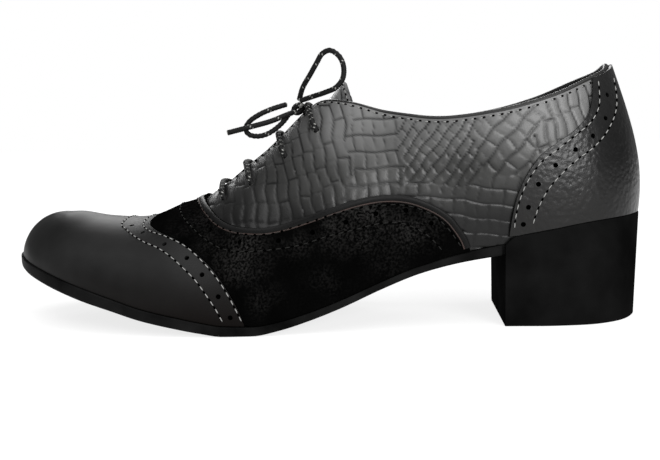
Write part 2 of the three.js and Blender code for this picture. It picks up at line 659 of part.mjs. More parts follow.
function buildTongue() {
  const faces = new Faces();
  const sections = TONGUE.map(tongueSection);
  const count = 2 * TONGUE_SPAN;
  for (let j = 0; j + 1 < sections.length; j += 1) {
    const a = sections[j];
    const b = sections[j + 1];
    for (let i = 0; i < count; i += 1) {
      faces.quad(a.upper[i], b.upper[i], b.upper[i + 1], a.upper[i + 1]);
      faces.quad(a.lower[i + 1], b.lower[i + 1], b.lower[i], a.lower[i]);
    }
    faces.quad(a.lower[0], b.lower[0], b.upper[0], a.upper[0]);
    faces.quad(a.upper[count], b.upper[count], b.lower[count], a.lower[count]);
  }
  [[0, false], [sections.length - 1, true]].forEach(([j, turned]) => {
    for (let i = 0; i < count; i += 1) {
      const { upper, lower } = sections[j];
      const rim = [lower[i], upper[i], upper[i + 1], lower[i + 1]];
      faces.quad(...(turned ? rim.reverse() : rim));
    }
  });
  return faces.geometry();
}

// Round lace along a centre line.
function laceTube(points) {
  const curve = new THREE.CatmullRomCurve3(points, false, "centripetal");
  const section = new THREE.Shape();
  for (let i = 0; i < LACE_SIDES; i += 1) {
    const angle = (i / LACE_SIDES) * 2 * Math.PI;
    const x = (Math.cos(angle) * LACE_DIAMETER) / 2;
    const y = (Math.sin(angle) * LACE_DIAMETER) / 2;
    if (i === 0) section.moveTo(x, y);
    else section.lineTo(x, y);
  }
  section.closePath();
  const steps = Math.ceil(curve.getLength() / LACE_STEP);
  const tube = new THREE.ExtrudeGeometry(section, { steps, extrudePath: curve });
  tube.deleteAttribute("normal");
  tube.deleteAttribute("uv");
  return mergeVertices(tube, MERGE);
}

// Bar of lace from an eyelet over the facings to the eyelet across from it.
function laceBar({ s, t }) {
  const lift = LACE_DIAMETER / 2 + 2 * GAP;
  const half = (side) => [t, (2 * t + 1) / 3, (t + 2) / 3, 1].map((at) => (
    upperPoint(s, side, at, lift)
  ));
  return laceTube([...half(-1), ...half(1).reverse()]);
}

function laceKnot() {
  const knot = new THREE.SphereGeometry(1, KNOT_SIDES, KNOT_RINGS);
  knot.scale(KNOT.along, KNOT.across, KNOT.thick);
  knot.rotateY(-THREE.MathUtils.degToRad(KNOT.rise));
  knot.translate(...KNOT.middle);
  knot.deleteAttribute("normal");
  knot.deleteAttribute("uv");
  return mergeVertices(knot, MERGE);
}

const material = {
  quarter: plainMaterial(0x5a5a59, 0.35),
  toeCap: plainMaterial(0x3a3a3a, 0.35),
  vamp: plainMaterial(0x0b0b0b, 0.9),
  counter: plainMaterial(0x383838, 0.4),
  sole: plainMaterial(0x161616, 0.6),
  lining: plainMaterial(0x1c1c1c, 0.8),
  lace: plainMaterial(0x121212, 0.85),
};

addPiece("outsole", buildOutsole(), material.sole);
addPiece("heel", buildHeel(), material.sole);
addPiece("insole", buildInsole(), material.lining);
addPiece("upper", buildUpper(), material.quarter);
addPiece("tongue", buildTongue(), material.quarter);
addPiece("toe_cap", buildToeCap(), material.toeCap);
addPiece("vamp", buildVamp(), material.vamp);
addPiece("counter", buildCounter(), material.counter);
eyelets.forEach((place, i) => {
  addPiece(`lace_bar_${i + 1}`, laceBar(place), material.lace);
});
addPiece("lace_knot", laceKnot(), material.lace);
Object.entries({
  lace_loop_up: LOOP_UP,
  lace_loop_front: LOOP_FRONT,
  lace_end_near: END_NEAR,
  lace_end_far: END_FAR,
}).forEach(([name, points]) => {
  addPiece(name, laceTube(points.map((point) => new THREE.Vector3(...point))), material.lace);
});

export default shoe;
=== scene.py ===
"""Looks of a laced oxford on a block heel, the left shoe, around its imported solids.

Lengths in the tables and in the shape functions are millimetres, and the pieces are in metres.
The toe points along -X, the outer side of the foot along -Y, and the floor is z = 0.
"""

import functools
import math

import bmesh
import bpy
import numpy as np
from mathutils import Matrix, Vector
from mathutils.bvhtree import BVHTree


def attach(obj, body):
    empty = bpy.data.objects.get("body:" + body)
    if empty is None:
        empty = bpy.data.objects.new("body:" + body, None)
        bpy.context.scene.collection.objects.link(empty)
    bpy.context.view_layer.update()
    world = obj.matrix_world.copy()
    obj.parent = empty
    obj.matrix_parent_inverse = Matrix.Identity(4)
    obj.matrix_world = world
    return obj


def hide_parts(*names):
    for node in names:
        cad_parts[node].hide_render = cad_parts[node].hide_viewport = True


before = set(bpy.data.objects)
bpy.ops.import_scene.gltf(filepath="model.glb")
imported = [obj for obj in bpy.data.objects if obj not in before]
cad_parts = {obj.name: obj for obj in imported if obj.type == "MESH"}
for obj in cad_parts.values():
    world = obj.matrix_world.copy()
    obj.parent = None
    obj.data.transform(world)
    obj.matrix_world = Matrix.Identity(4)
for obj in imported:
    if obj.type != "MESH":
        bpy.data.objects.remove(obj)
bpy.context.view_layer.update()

bl_info = {
    "name": "Laced oxford",
    "version": (1, 0, 0),
    "blender": (4, 5, 0),
    "location": "View3D > Sidebar > Oxford",
    "description": "Builds the leather, laces and sole of a laced oxford around its solids",
    "category": "Object",
}

MM = 0.001
BODY = "root"

# Main sizes, the same as those of the solids
LENGTH = 256
BALL_WIDTH = 83
COLLAR_HEIGHT = 60.3
SEAT_HEIGHT = 35.2
TOE_SPRING = 22.8
WALL = 2
OVERLAY = 1.2
SOLE_THICKNESS = 4.2
INSOLE_THICKNESS = 2
TONGUE_THICKNESS = 1.8
RIM_THICKNESS = 1.7
GAP = 0.3
SOLE_LEDGE = 0.8
WAIST_LEDGE = 1
BREAST_AT = 200
RIM_HEIGHT = 2.4
RIM_RUN = 3
RIM_LEAN = 0.5
HEEL_TAPER = 1.5
TONGUE_CLEARANCE = 1.05
TONGUE_REACH = 15
LACE_DIAMETER = 2.1
EYELET_INSET = 16.5
EYELET_DIAMETER = 3
FRONT = -LENGTH / 2
THROAT = 6
CORNER = 10

# Underside of the sole: share of the length, then of the toe spring, seat height and thickness.
SOLE_COLUMNS = ("along", "spring", "arch", "thick")
SOLE_LINE = [dict(zip(SOLE_COLUMNS, row)) for row in (
    (0.0, 1.0, 0, 1.08), (0.043, 0.868, 0, 1.18), (0.094, 0.706, 0, 1.24),
    (0.148, 0.539, 0, 1.22), (0.199, 0.395, 0, 1.12), (0.246, 0.25, 0, 1.06),
    (0.297, 0.132, 0, 1.02), (0.34, 0.046, 0, 0.96), (0.37, 0, 0, 0.92), (0.412, 0, 0, 0.84),
    (0.453, 0, 0.05, 0.78), (0.492, 0, 0.131, 0.74), (0.539, 0, 0.256, 0.72),
    (0.598, 0, 0.437, 0.68), (0.656, 0, 0.591, 0.7), (0.715, 0, 0.694, 0.86),
    (0.773, 0, 0.766, 0.94), (0.844, 0, 0.866, 0.88), (0.914, 0, 0.952, 0.86),
    (1.0, 0, 1.0, 0.86),
)]

# Profile lines of the upper, from the sole's edge up to the ridge, facing or collar.
LINE_COLUMNS = ("along", "outer", "inner", "top", "height", "centre", "spread",
                "lean", "rise", "crown", "handle")
LINES = [dict(zip(LINE_COLUMNS, row)) for row in (
    (0.014, -0.06, 0.06, 0.086, 0.337, 0.05, 0, -6, 0.5, 0, 0.6),
    (0.04, 0.135, 0.235, 0.092, 0.343, 0.05, 0, -2, 0.52, 0, 0.58),
    (0.086, 0.275, 0.36, 0.115, 0.366, 0.045, 0, 4, 0.54, 0, 0.56),
    (0.148, 0.385, 0.44, 0.157, 0.385, 0.04, 0, 8, 0.55, 0, 0.56),
    (0.227, 0.46, 0.487, 0.223, 0.464, 0.03, 0, 12, 0.55, 0, 0.56),
    (0.305, 0.495, 0.493, 0.281, 0.612, 0.02, 0, 14, 0.52, 0, 0.56),
    (0.363, 0.5, 0.475, 0.318, 0.7, 0.015, 0, 13, 0.5, 0, 0.56),
    (0.414, 0.49, 0.437, 0.371, 0.893, 0.01, 0.045, 11, 0.46, 10, 0.58),
    (0.492, 0.443, 0.367, 0.437, 1.113, 0.005, 0.062, 8, 0.42, 16, 0.58),
    (0.539, 0.42, 0.325, 0.484, 1.252, 0.002, 0.082, 7, 0.4, 20, 0.56),
    (0.57, 0.4, 0.3, 0.509, 1.283, 0, 0.105, 7, 0.38, 26, 0.52),
    (0.609, 0.368, 0.288, 0.551, 1.203, 0, 0.195, 8, 0.36, 45, 0.42),
    (0.656, 0.343, 0.283, 0.609, 1.033, 0.002, 0.27, 9, 0.34, 62, 0.36),
    (0.719, 0.323, 0.293, 0.688, 0.873, 0.004, 0.32, 10, 0.33, 78, 0.34),
    (0.789, 0.317, 0.313, 0.773, 0.832, 0.006, 0.325, 9, 0.33, 80, 0.34),
    (0.859, 0.313, 0.319, 0.852, 0.858, 0.01, 0.292, 8, 0.34, 78, 0.36),
    (0.922, 0.268, 0.277, 0.906, 0.914, 0.012, 0.216, 8, 0.35, 75, 0.4),
    (0.967, 0.157, 0.169, 0.938, 0.96, 0.012, 0.108, 8, 0.35, 72, 0.44),
    (0.989, -0.012, 0.012, 0.948, 1.0, 0.012, 0, 8, 0.35, 71, 0.46),
)]
LAST = len(LINES) - 1

# Edges of the panels in side view, as shares of the length and of the collar's height.
CAP_EDGE = (
    (0.245, 0.561), (0.237, 0.491), (0.24, 0.48), (0.255, 0.472), (0.298, 0.457), (0.333, 0.403),
    (0.357, 0.336), (0.378, 0.229), (0.395, 0.098), (0.405, -0.034),
)
VAMP_EDGE = (
    (0.316, 0.792), (0.322, 0.724), (0.344, 0.67), (0.361, 0.636), (0.382, 0.609),
    (0.403, 0.6), (0.433, 0.592), (0.463, 0.588), (0.499, 0.59), (0.536, 0.586),
    (0.57, 0.569), (0.599, 0.538), (0.623, 0.499), (0.646, 0.448), (0.666, 0.391),
    (0.685, 0.326), (0.702, 0.25), (0.715, 0.165), (0.724, 0.095), (0.729, 0.03),
    (0.733, -0.06),
)
COUNTER_EDGE = (
    (0.913, 1.06), (0.912, 0.909), (0.91, 0.811), (0.902, 0.699), (0.88, 0.617), (0.855, 0.569),
    (0.83, 0.505), (0.812, 0.414), (0.798, 0.292), (0.791, 0.172), (0.786, 0.025),
    (0.784, -0.039),
)

# Seams and rows of holes in side view, x and z, from the top of each down to the sole.
CAP_REAR_SEAM = ((-70.0, 39.8), (-68.7, 38.8), (-64.5, 37.5), (-56.9, 36.1), (-47.9, 32.8),
                 (-41.6, 28.4), (-34.4, 21.2), (-30.0, 14.5), (-27.1, 8.5), (-25.8, 5.4))
CAP_FRONT_SEAM = ((-78.7, 39.0), (-76.5, 38.1), (-71.5, 36.0), (-65.7, 34.0), (-59.3, 32.3),
                  (-53.1, 29.3), (-48.0, 25.6), (-43.1, 21.3), (-39.2, 16.4), (-35.5, 10.9),
                  (-32.8, 5.4))
CAP_HOLES = ((-74.4, 39.0), (-67.8, 37.0), (-56.7, 33.6), (-46.9, 29.0), (-40.6, 23.2),
             (-34.3, 15.3), (-30.1, 7.4))
VAMP_REAR_SEAM = ((-41.9, 44.1), (-35.9, 40.2), (-30.0, 38.4), (-23.6, 37.4), (-14.4, 37.7),
                  (-5.8, 40.2), (5.8, 43.7), (15.0, 46.1), (25.4, 47.2), (33.0, 47.3),
                  (40.0, 45.6), (45.6, 42.6), (50.0, 38.6), (53.2, 34.4), (55.6, 30.6))
VAMP_FRONT_SEAM = ((-52.9, 43.4), (-46.3, 38.9), (-39.2, 34.6), (-32.3, 32.0), (-23.3, 31.4),
                   (-14.3, 32.0), (-3.6, 33.6), (5.7, 36.4), (14.9, 38.4), (25.3, 40.6),
                   (33.8, 40.3), (42.0, 36.3), (46.1, 32.4), (48.6, 29.4))
VAMP_HOLES = ((-48.4, 43.9), (-39.3, 38.7), (-26.9, 34.9), (-12.1, 35.2), (0.5, 38.0),
              (12.8, 41.5), (23.9, 44.3), (35.0, 45.2), (44.3, 40.1))
COUNTER_FRONT_SEAM = ((107.6, 92.2), (107.8, 89.3), (107.4, 82.4), (103.8, 76.3), (97.7, 71.6),
                      (91.6, 67.0), (85.3, 62.4), (80.5, 56.2), (77.2, 48.8), (75.4, 40.6),
                      (75.2, 37.0))
COUNTER_REAR_SEAM = ((115.2, 93.6), (115.4, 91.8), (115.7, 85.2), (114.4, 79.5), (109.8, 72.1),
                     (104.2, 66.7), (98.4, 62.8), (92.9, 58.1), (87.5, 52.0), (83.9, 45.3),
                     (81.8, 38.6))
COUNTER_HOLES = ((111.3, 86.3), (109.9, 77.6), (104.4, 71.1), (97.6, 66.3), (90.1, 60.8),
                 (83.8, 53.9), (80.2, 45.4), (78.4, 39.0))

EYELETS = (0.16, 0.32, 0.54, 0.82)

# Tongue sections: row of the upper's lines, place of the edge on that line, shares of the reach
# of its middle and of its edges, and the power of its arch.
TONGUE = (
    (5.2, 0.8, 0, 0, 2), (5.8, 0.8, 0, 0, 2), (6.4, 0.8, 0, 0, 2), (7, 0.8, 0, 0, 2),
    (7.6, 0.8, 0, 0, 2), (8.2, 0.8, 0, 0, 2), (8.8, 0.82, 0, 0, 2), (9.4, 0.83, 0, 0, 2),
    (10, 0.85, 0.3, 0, 1.8), (10.5, 0.88, 0.58, 0, 1.65), (11, 0.89, 0.84, 0, 1.6),
    (11.1, 0.93, 1, 0.04, 1.6),
)
TONGUE_RISE = 50
TONGUE_LEAVES = 9.6

# Centre lines of the bow, the same as those of the solids.
KNOT_MIDDLE = (-7.3, -2.5, 83.9)
KNOT_TURNS = 2.2
KNOT_LEAN = 38
KNOT_REACH = 1.9
KNOT_THICKNESS = 1.3
KNOT_WIDTH = 5.4
BOW = {
    "lace_loop_up": ("knot", (
        (-7.0, -1.4, 87.5), (-5.2, -4.0, 92.2), (-1.6, -7.5, 97.4), (1.1, -9.0, 101.6),
        (3.3, -10.0, 104.8), (6.5, -11.0, 106.0), (10.2, -12.0, 103.4), (11.8, -13.0, 99.2),
        (11.3, -13.4, 94.8), (8.6, -13.0, 91.6), (4.3, -11.2, 89.9), (-0.6, -8.0, 88.6),
        (-6.2, -5.8, 87.0))),
    "lace_loop_front": ("knot", (
        (-11.9, -4.9, 85.7), (-14.2, -6.6, 85.0), (-18.4, -8.0, 83.6), (-22.6, -8.8, 81.7),
        (-26.2, -9.2, 79.2), (-27.8, -9.2, 76.4), (-26.6, -8.8, 74.2), (-23.0, -8.4, 73.4),
        (-19.0, -7.8, 74.4), (-15.4, -6.4, 76.8), (-12.6, -3.8, 79.8), (-11.1, -1.2, 82.4))),
    "lace_end_near": ("bare", (
        (-8.8, -6.5, 82.6), (-12.2, -9.8, 81.2), (-17.2, -12.4, 79.2), (-25.0, -13.4, 77.2),
        (-34.4, -13.4, 75.0))),
    "lace_end_far": ("bare", (
        (-7.3, 2.2, 84.4), (-6.6, 7.0, 84.6), (-5.7, 12.0, 81.4), (-5.8, 16.4, 75.9),
        (-6.4, 20.8, 68.3), (-7.5, 24.2, 61.1), (-9.0, 27.2, 53.6))),
}


def linear(code, alpha=1.0):
    """Linear colour of an sRGB hex value."""
    parts = [int(code[k:k + 2], 16) / 255 for k in (1, 3, 5)]
    return (*(p / 12.92 if p <= 0.04045 else ((p + 0.055) / 1.055) ** 2.4 for p in parts), alpha)


# Form of the upper


def clamp(value, low, high):
    return min(max(value, low), high)


def smoothstep(value, low, high):
    share = np.clip((value - low) / (high - low), 0, 1)
    return share * share * (3 - 2 * share)


def hermite(a, b, leave, reach, t):
    return (a * (2 * t ** 3 - 3 * t ** 2 + 1) + leave * (t ** 3 - 2 * t ** 2 + t)
            + b * (3 * t ** 2 - 2 * t ** 3) + reach * (t ** 3 - t ** 2))


def level_curve(key, along):
    """Value of the sole line's column, level where two rows are alike."""
    table = SOLE_LINE
    last = len(table) - 1
    place = clamp(along, table[0]["along"], table[last]["along"])
    i = 0
    while i < last - 1 and table[i + 1]["along"] < place:
        i += 1

    def slope(k):
        return (table[k + 1][key] - table[k][key]) / (table[k + 1]["along"] - table[k]["along"])

    def tangent(k):
        if k == 0:
            return slope(0)
        if k == last:
            return slope(last - 1)
        before, after = slope(k - 1), slope(k)
        return 0 if before * after <= 0 else 2 * before * after / (before + after)

    step = table[i + 1]["along"] - table[i]["along"]
    return hermite(table[i][key], table[i + 1][key], tangent(i) * step, tangent(i + 1) * step,
                   (place - table[i]["along"]) / step)


@functools.lru_cache(None)
def sole_bottom(x):
    along = (x - FRONT) / LENGTH
    return level_curve("spring", along) * TOE_SPRING + level_curve("arch", along) * SEAT_HEIGHT


@functools.lru_cache(None)
def sole_top(x):
    return sole_bottom(x) + level_curve("thick", (x - FRONT) / LENGTH) * SOLE_THICKNESS


def rim_top(x):
    """Top edge of the heel cup, which rises from the sole behind the heel's front face."""
    return sole_top(x) + clamp((x - FRONT - BREAST_AT) / RIM_RUN, 0, 1) * RIM_HEIGHT


def row_value(index, side, key):
    if index < 0:
        return row_value(-index, -side, key)
    if index > LAST:
        return row_value(2 * LAST - index, -side, key)
    row = LINES[index]
    if key == "foot":
        return side * (row["outer"] if side < 0 else row["inner"])
    return side * row[key] if key == "spread" else row[key]


def row_distance(index):
    a = LINES[clamp(index, 0, LAST - 1)]
    b = LINES[clamp(index, 0, LAST - 1) + 1]
    width = (a["outer"] - b["outer"] + a["inner"] - b["inner"]) * BALL_WIDTH / 2
    return math.hypot((b["along"] - a["along"]) * LENGTH, width)


def line_value(s, side, key):
    if s < 0:
        return line_value(-s, -side, key)
    if s > LAST:
        return line_value(2 * LAST - s, -side, key)
    i = min(int(s), LAST - 1)
    here = row_distance(i)
    before = here if i == 0 else row_distance(i - 1)
    after = here if i == LAST - 1 else row_distance(i + 1)
    v = [row_value(i + k, side, key) for k in (-1, 0, 1, 2)]

    def tangent(d0, d1, a, b, c):
        return ((b - a) / d0 * d1 + (c - b) / d1 * d0) / (d0 + d1)

    return hermite(v[1], v[2], tangent(before, here, *v[:3]) * here,
                   tangent(here, after, *v[1:]) * here, s - i)


def foot(s, side):
    x = FRONT + line_value(s, side, "along") * LENGTH
    return np.array((x, line_value(s, side, "foot") * BALL_WIDTH, sole_top(x) + GAP))


def head(s, side):
    x = FRONT + line_value(s, side, "top") * LENGTH
    spread = 0 if s <= THROAT else line_value(s, side, "spread")
    y = (line_value(s, side, "centre") + spread) * BALL_WIDTH
    return np.array((x, y, sole_top(x) + line_value(s, side, "height") * COLLAR_HEIGHT))


def outward(s, side):
    """Level direction out of the shoe at the foot of a profile line."""
    step = foot(s + 0.02, side) - foot(s - 0.02, side)
    out = np.array((side * -step[1], side * step[0], 0.0))
    return out / np.linalg.norm(out)


def ridge_slope(s, side):
    a = head(max(min(s, THROAT) - 0.5, 0), side)
    b = head(min(s + 0.5, THROAT), side)
    return (b[2] - a[2]) / (b[0] - a[0])


@functools.lru_cache(None)
def profile(s, side):
    """The four control points of a profile line."""
    start, end, out = foot(s, side), head(s, side), outward(s, side)
    lean = math.radians(line_value(s, side, "lean"))
    crown = math.radians(line_value(s, side, "crown"))
    height = end[2] - start[2]
    width = math.hypot(end[0] - start[0], end[1] - start[1])
    leave = out * math.sin(lean) + np.array((0, 0, math.cos(lean)))
    arrive = -out * math.cos(crown)
    on_ridge = 1 - float(smoothstep(s, THROAT, THROAT + 1))
    arrive[2] = math.sin(crown) + on_ridge * arrive[0] * ridge_slope(s, side)
    reach = line_value(s, side, "handle") * (width * math.cos(crown) + height * math.sin(crown))
    return np.array((start, start + leave * line_value(s, side, "rise") * height,
                     end - arrive * reach, end))


def line_points(s, side, t):
    t = np.asarray(t, float)[:, None]
    p = profile(s, side)
    return ((1 - t) ** 3 * p[0] + 3 * t * (1 - t) ** 2 * p[1] + 3 * t ** 2 * (1 - t) * p[2]
            + t ** 3 * p[3])


def upper_points(s, side, t, offset=0.0):
    """Points of one profile line, moved out of the shoe by offset."""
    if s in (0, LAST):
        side = -1
    t = np.asarray(t, float)
    points = line_points(s, side, t)
    if np.all(np.asarray(offset) == 0):
        return points
    along = line_points(s + 0.02, side, t) - line_points(s - 0.02, side, t)
    p = profile(s, side)
    u = t[:, None]
    up = (3 * (1 - u) ** 2 * (p[1] - p[0]) + 6 * u * (1 - u) * (p[2] - p[1])
          + 3 * u ** 2 * (p[3] - p[2]))
    normals = np.cross(along, up) * -side
    normals[t == 0, 2] = 0
    if s <= THROAT:
        normals[t == 1] = (-ridge_slope(s, side), 0, 1)
    normals /= np.linalg.norm(normals, axis=1)[:, None]
    return points + normals * np.asarray(offset).reshape(-1, 1)


def upper_point(s, side, t, offset=0.0):
    return upper_points(s, side, [t], offset)[0]


@functools.lru_cache(None)
def down_from_top(s, side, distance):
    """Share of a profile line that lies a distance below its head."""
    t = np.linspace(0, 1, 400)
    away = np.linalg.norm(line_points(s, side, t) - head(s, side), axis=1)
    return float(t[np.nonzero(away >= distance)[0][-1]])


def station_at(x):
    low, high = 0.0, float(LAST)
    for _ in range(40):
        middle = (low + high) / 2
        if foot(middle, -1)[0] < x:
            low = middle
        else:
            high = middle
    return (low + high) / 2


def stations(start, end, step):
    """Stations of the loop about a step apart in millimetres, the first and last exact."""
    fine = np.linspace(start, end, 400)
    places = np.array([(foot(s, -1) + head(s, -1)) / 2 for s in fine])
    lengths = np.concatenate(([0], np.cumsum(np.linalg.norm(np.diff(places, axis=0), axis=1))))
    count = max(int(lengths[-1] / step), 4)
    found = np.interp(np.linspace(0, lengths[-1], count + 1), lengths, fine)
    found[0], found[-1] = start, end
    return [float(s) for s in found]


# Making pieces


def deselect():
    if bpy.context.object and bpy.context.object.mode != "OBJECT":
        bpy.ops.object.mode_set(mode="OBJECT")
    bpy.ops.object.select_all(action="DESELECT")


def pick(piece):
    deselect()
    piece.select_set(True)
    bpy.context.view_layer.objects.active = piece


def edit(piece, *steps):
    """Runs edit-mode steps, each an operator with its settings, on all of a piece."""
    pick(piece)
    bpy.ops.object.mode_set(mode="EDIT")
    bpy.ops.mesh.select_all(action="SELECT")
    for operator, settings in steps:
        operator(**settings)
    bpy.ops.object.mode_set(mode="OBJECT")


def modify(piece, kind, **settings):
    """Adds a modifier with its settings and applies it."""
    pick(piece)
    modifier = piece.modifiers.new(kind.lower(), kind)
    for key, value in settings.items():
        setattr(modifier, key, value)
    bpy.ops.object.modifier_apply(modifier=modifier.name)


def coordinates(piece):
    points = np.empty(len(piece.data.vertices) * 3)
    piece.data.vertices.foreach_get("co", points)
    return points.reshape(-1, 3)


def sheet(name, points):
    """Grid whose corners are moved onto points[column, row], in millimetres.

    Its UV map runs from 0 to 1 along the columns and along the rows, as rise does by corner.
    """
    columns, rows = points.shape[0] - 1, points.shape[1] - 1
    deselect()
    bpy.ops.mesh.primitive_grid_add(x_subdivisions=columns, y_subdivisions=rows, size=2)
    piece = bpy.context.object
    piece.name = piece.data.name = name
    flat = coordinates(piece)
    i = np.rint((flat[:, 0] + 1) / 2 * columns).astype(int)
    j = np.rint((flat[:, 1] + 1) / 2 * rows).astype(int)
    piece.data.vertices.foreach_set("co", (points[i, j] * MM).ravel())
    rise = piece.data.attributes.new("rise", "FLOAT", "POINT")
    rise.data.foreach_set("value", j / rows)
    piece.data.update()
    return piece


def close_up(piece, merge=0.01):
    """Merges doubles and fills what is open, with all faces pointing outwards."""
    edit(
        piece,
        (bpy.ops.mesh.remove_doubles, {"threshold": merge * MM}),
        (bpy.ops.mesh.select_all, {"action": "DESELECT"}),
        (bpy.ops.mesh.select_non_manifold, {"extend": False}),
        (bpy.ops.mesh.fill, {}),
        (bpy.ops.mesh.select_all, {"action": "SELECT"}),
        (bpy.ops.mesh.normals_make_consistent, {"inside": False}),
    )


def face_out(piece):
    """Turns an open sheet of the upper so that its faces look away from the foot."""
    mesh = piece.data
    count = len(mesh.polygons)
    normals, middles = np.empty(count * 3), np.empty(count * 3)
    mesh.polygons.foreach_get("normal", normals)
    mesh.polygons.foreach_get("center", middles)
    if np.sum(normals[1::3] * middles[1::3]) < 0:
        edit(piece, (bpy.ops.mesh.flip_normals, {}))


def smooth(piece, degrees=40):
    pick(piece)
    bpy.ops.object.shade_smooth_by_angle(angle=math.radians(degrees))


def finish_piece(piece, material, slot, *nodes):
    """Gives a piece its finish, hangs it on the body and hides the solids that it stands in for.
    """
    piece.data.materials.clear()
    piece.data.materials.append(material)
    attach(piece, BODY)
    if nodes:
        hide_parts(*nodes)
    return piece


def curve_through(points, step):
    """Points about a step apart on a smooth curve through the given ones."""
    points = np.asarray(points, float)
    chords = np.linalg.norm(np.diff(points, axis=0), axis=1) ** 0.5
    knots = np.concatenate(([0], np.cumsum(np.maximum(chords, 1e-6))))
    ends = np.vstack((2 * points[0] - points[1], points, 2 * points[-1] - points[-2]))
    times = np.concatenate(([-knots[1]], knots, [2 * knots[-1] - knots[-2]]))
    fine = []
    for k in range(1, len(points)):
        p, q = ends[k - 1:k + 3], times[k - 1:k + 3]
        for t in np.linspace(q[1], q[2], 24, endpoint=False):
            a = [p[m] * (q[m + 1] - t) / (q[m + 1] - q[m]) + p[m + 1] * (t - q[m])
                 / (q[m + 1] - q[m]) for m in range(3)]
            b = [a[m] * (q[m + 2] - t) / (q[m + 2] - q[m]) + a[m + 1] * (t - q[m])
                 / (q[m + 2] - q[m]) for m in range(2)]
            fine.append(b[0] * (q[2] - t) / (q[2] - q[1]) + b[1] * (t - q[1]) / (q[2] - q[1]))
    fine.append(points[-1])
    return evenly(np.array(fine), step)


def evenly(points, step):
    """The same line with its points an even step apart."""
    lengths = np.concatenate(([0], np.cumsum(np.linalg.norm(np.diff(points, axis=0), axis=1))))
    at = np.linspace(0, lengths[-1], max(int(round(lengths[-1] / step)), 2) + 1)
    return np.column_stack([np.interp(at, lengths, points[:, k])
                            for k in range(points.shape[1])])


def directions(points):
    steps = np.gradient(points, axis=0)
    return steps / np.linalg.norm(steps, axis=1)[:, None]


def tube(name, points, radius, sides=10, normals=None, flat=1.0, relief=None):
    """Closed tube along points. With normals, its section is flattened along them.

    relief gives the share by which the radius swells, from the turn and the length in mm.
    """
    along = directions(points)
    if normals is None:
        normals = [np.cross(along[0], (0.3, 0.1, 0.9))]
        for step in along[1:]:
            normals.append(normals[-1] - step * np.dot(normals[-1], step))
        normals = np.array(normals)
    normals = normals - along * np.sum(normals * along, axis=1)[:, None]
    normals /= np.linalg.norm(normals, axis=1)[:, None]
    across = np.cross(along, normals)
    lengths = np.concatenate(([0], np.cumsum(np.linalg.norm(np.diff(points, axis=0), axis=1))))
    rings = []
    for k in range(sides + 1):
        turn = k / sides
        swell = 1 + (relief(turn, lengths) if relief else 0)
        section = (across * math.cos(2 * math.pi * turn)
                   + normals * (flat * math.sin(2 * math.pi * turn)))
        rings.append(points + section * (radius * swell * np.ones(len(points)))[:, None])
    piece = sheet(name, np.array(rings).transpose(1, 0, 2))
    close_up(piece, 0.001)
    return piece


def cut(piece, tool, operation):
    """Cuts a piece with a tool, which is used up."""
    modify(piece, "BOOLEAN", operation=operation, solver="MANIFOLD", object=tool)
    bpy.data.objects.remove(tool, do_unlink=True)


def side_block(outline):
    """Block with an outline of x and z, right through the shoe."""
    deselect()
    bpy.ops.mesh.primitive_circle_add(vertices=len(outline), radius=1, fill_type="NGON")
    block = bpy.context.object
    for vertex, (x, z) in zip(block.data.vertices, outline):
        vertex.co = (x * MM, -0.1, z * MM)
    edit(
        block,
        (bpy.ops.mesh.extrude_region_move, {"TRANSFORM_OT_translate": {"value": (0, 0.2, 0)}}),
        (bpy.ops.mesh.select_all, {"action": "SELECT"}),
        (bpy.ops.mesh.normals_make_consistent, {"inside": False}),
    )
    return block


def repeated(name, model, places):
    """One piece of copies of a model, each at a matrix. The model is used up."""
    count = len(model.data.vertices)
    base = np.hstack((coordinates(model), np.ones((count, 1))))
    whole = bmesh.new()
    for place in places:
        before = len(whole.verts)
        whole.from_mesh(model.data)
        whole.verts.ensure_lookup_table()
        for vertex, point in zip(whole.verts[before:], base @ np.array(place).T):
            vertex.co = point[:3]
    mesh = bpy.data.meshes.new(name)
    whole.to_mesh(mesh)
    whole.free()
    bpy.data.objects.remove(model, do_unlink=True)
    piece = bpy.data.objects.new(name, mesh)
    bpy.context.collection.objects.link(piece)
    return piece


def standing(point, along, normal):
    """Matrix at a point in mm, with X along a direction and Z along a normal."""
    along, normal = Vector(along), Vector(normal).normalized()
    along = (along - normal * along.dot(normal)).normalized()
    turn = Matrix((along, normal.cross(along), normal)).transposed().to_4x4()
    return Matrix.Translation(Vector(point) * MM) @ turn


def tree_of(piece):
    return BVHTree.FromObject(piece, bpy.context.evaluated_depsgraph_get())


def nearest(tree, points):
    """Points in mm put on a piece, with the piece's normals there."""
    found = [tree.find_nearest(Vector(point) * MM)[:2] for point in points]
    return (np.array([p for p, _ in found]) / MM, np.array([n for _, n in found]))


def cast(tree, x, z, side):
    """Point of a piece seen from the side at x and z, or None."""
    hit = tree.ray_cast(Vector((x * MM, side * 0.1, z * MM)), Vector((0, -side, 0)))[0]
    return None if hit is None else np.array(hit) / MM


def over_top(tree, route, ridge, step):
    """Line on a piece along a side-view route, up one side, over the ridge and down the other."""
    top = tree.ray_cast(Vector((ridge * MM, 0.001, 0.2)), Vector((0, 0, -1)))[0]
    near = [cast(tree, x, z, -1) for x, z in route]
    far = [cast(tree, x, z, 1) for x, z in route]
    line = ([p for p in near[::-1] if p is not None] + [np.array(top) / MM]
            + [p for p in far if p is not None])
    return nearest(tree, curve_through(line, step))


def down_side(tree, route, side, step):
    line = [cast(tree, x, z, side) for x, z in route]
    return nearest(tree, curve_through([p for p in line if p is not None], step))


# Materials


def add_node(owner, kind, settings=None, links=None):
    """Adds a node to a material or a world, with its settings and its links."""
    tree = owner.node_tree
    node = tree.nodes.new(kind)
    for key, value in (settings or {}).items():
        if isinstance(key, str) and hasattr(node, key):
            setattr(node, key, value)
        else:
            node.inputs[key].default_value = value
    for key, source in (links or {}).items():
        tree.links.new(source, node.inputs[key])
    return node


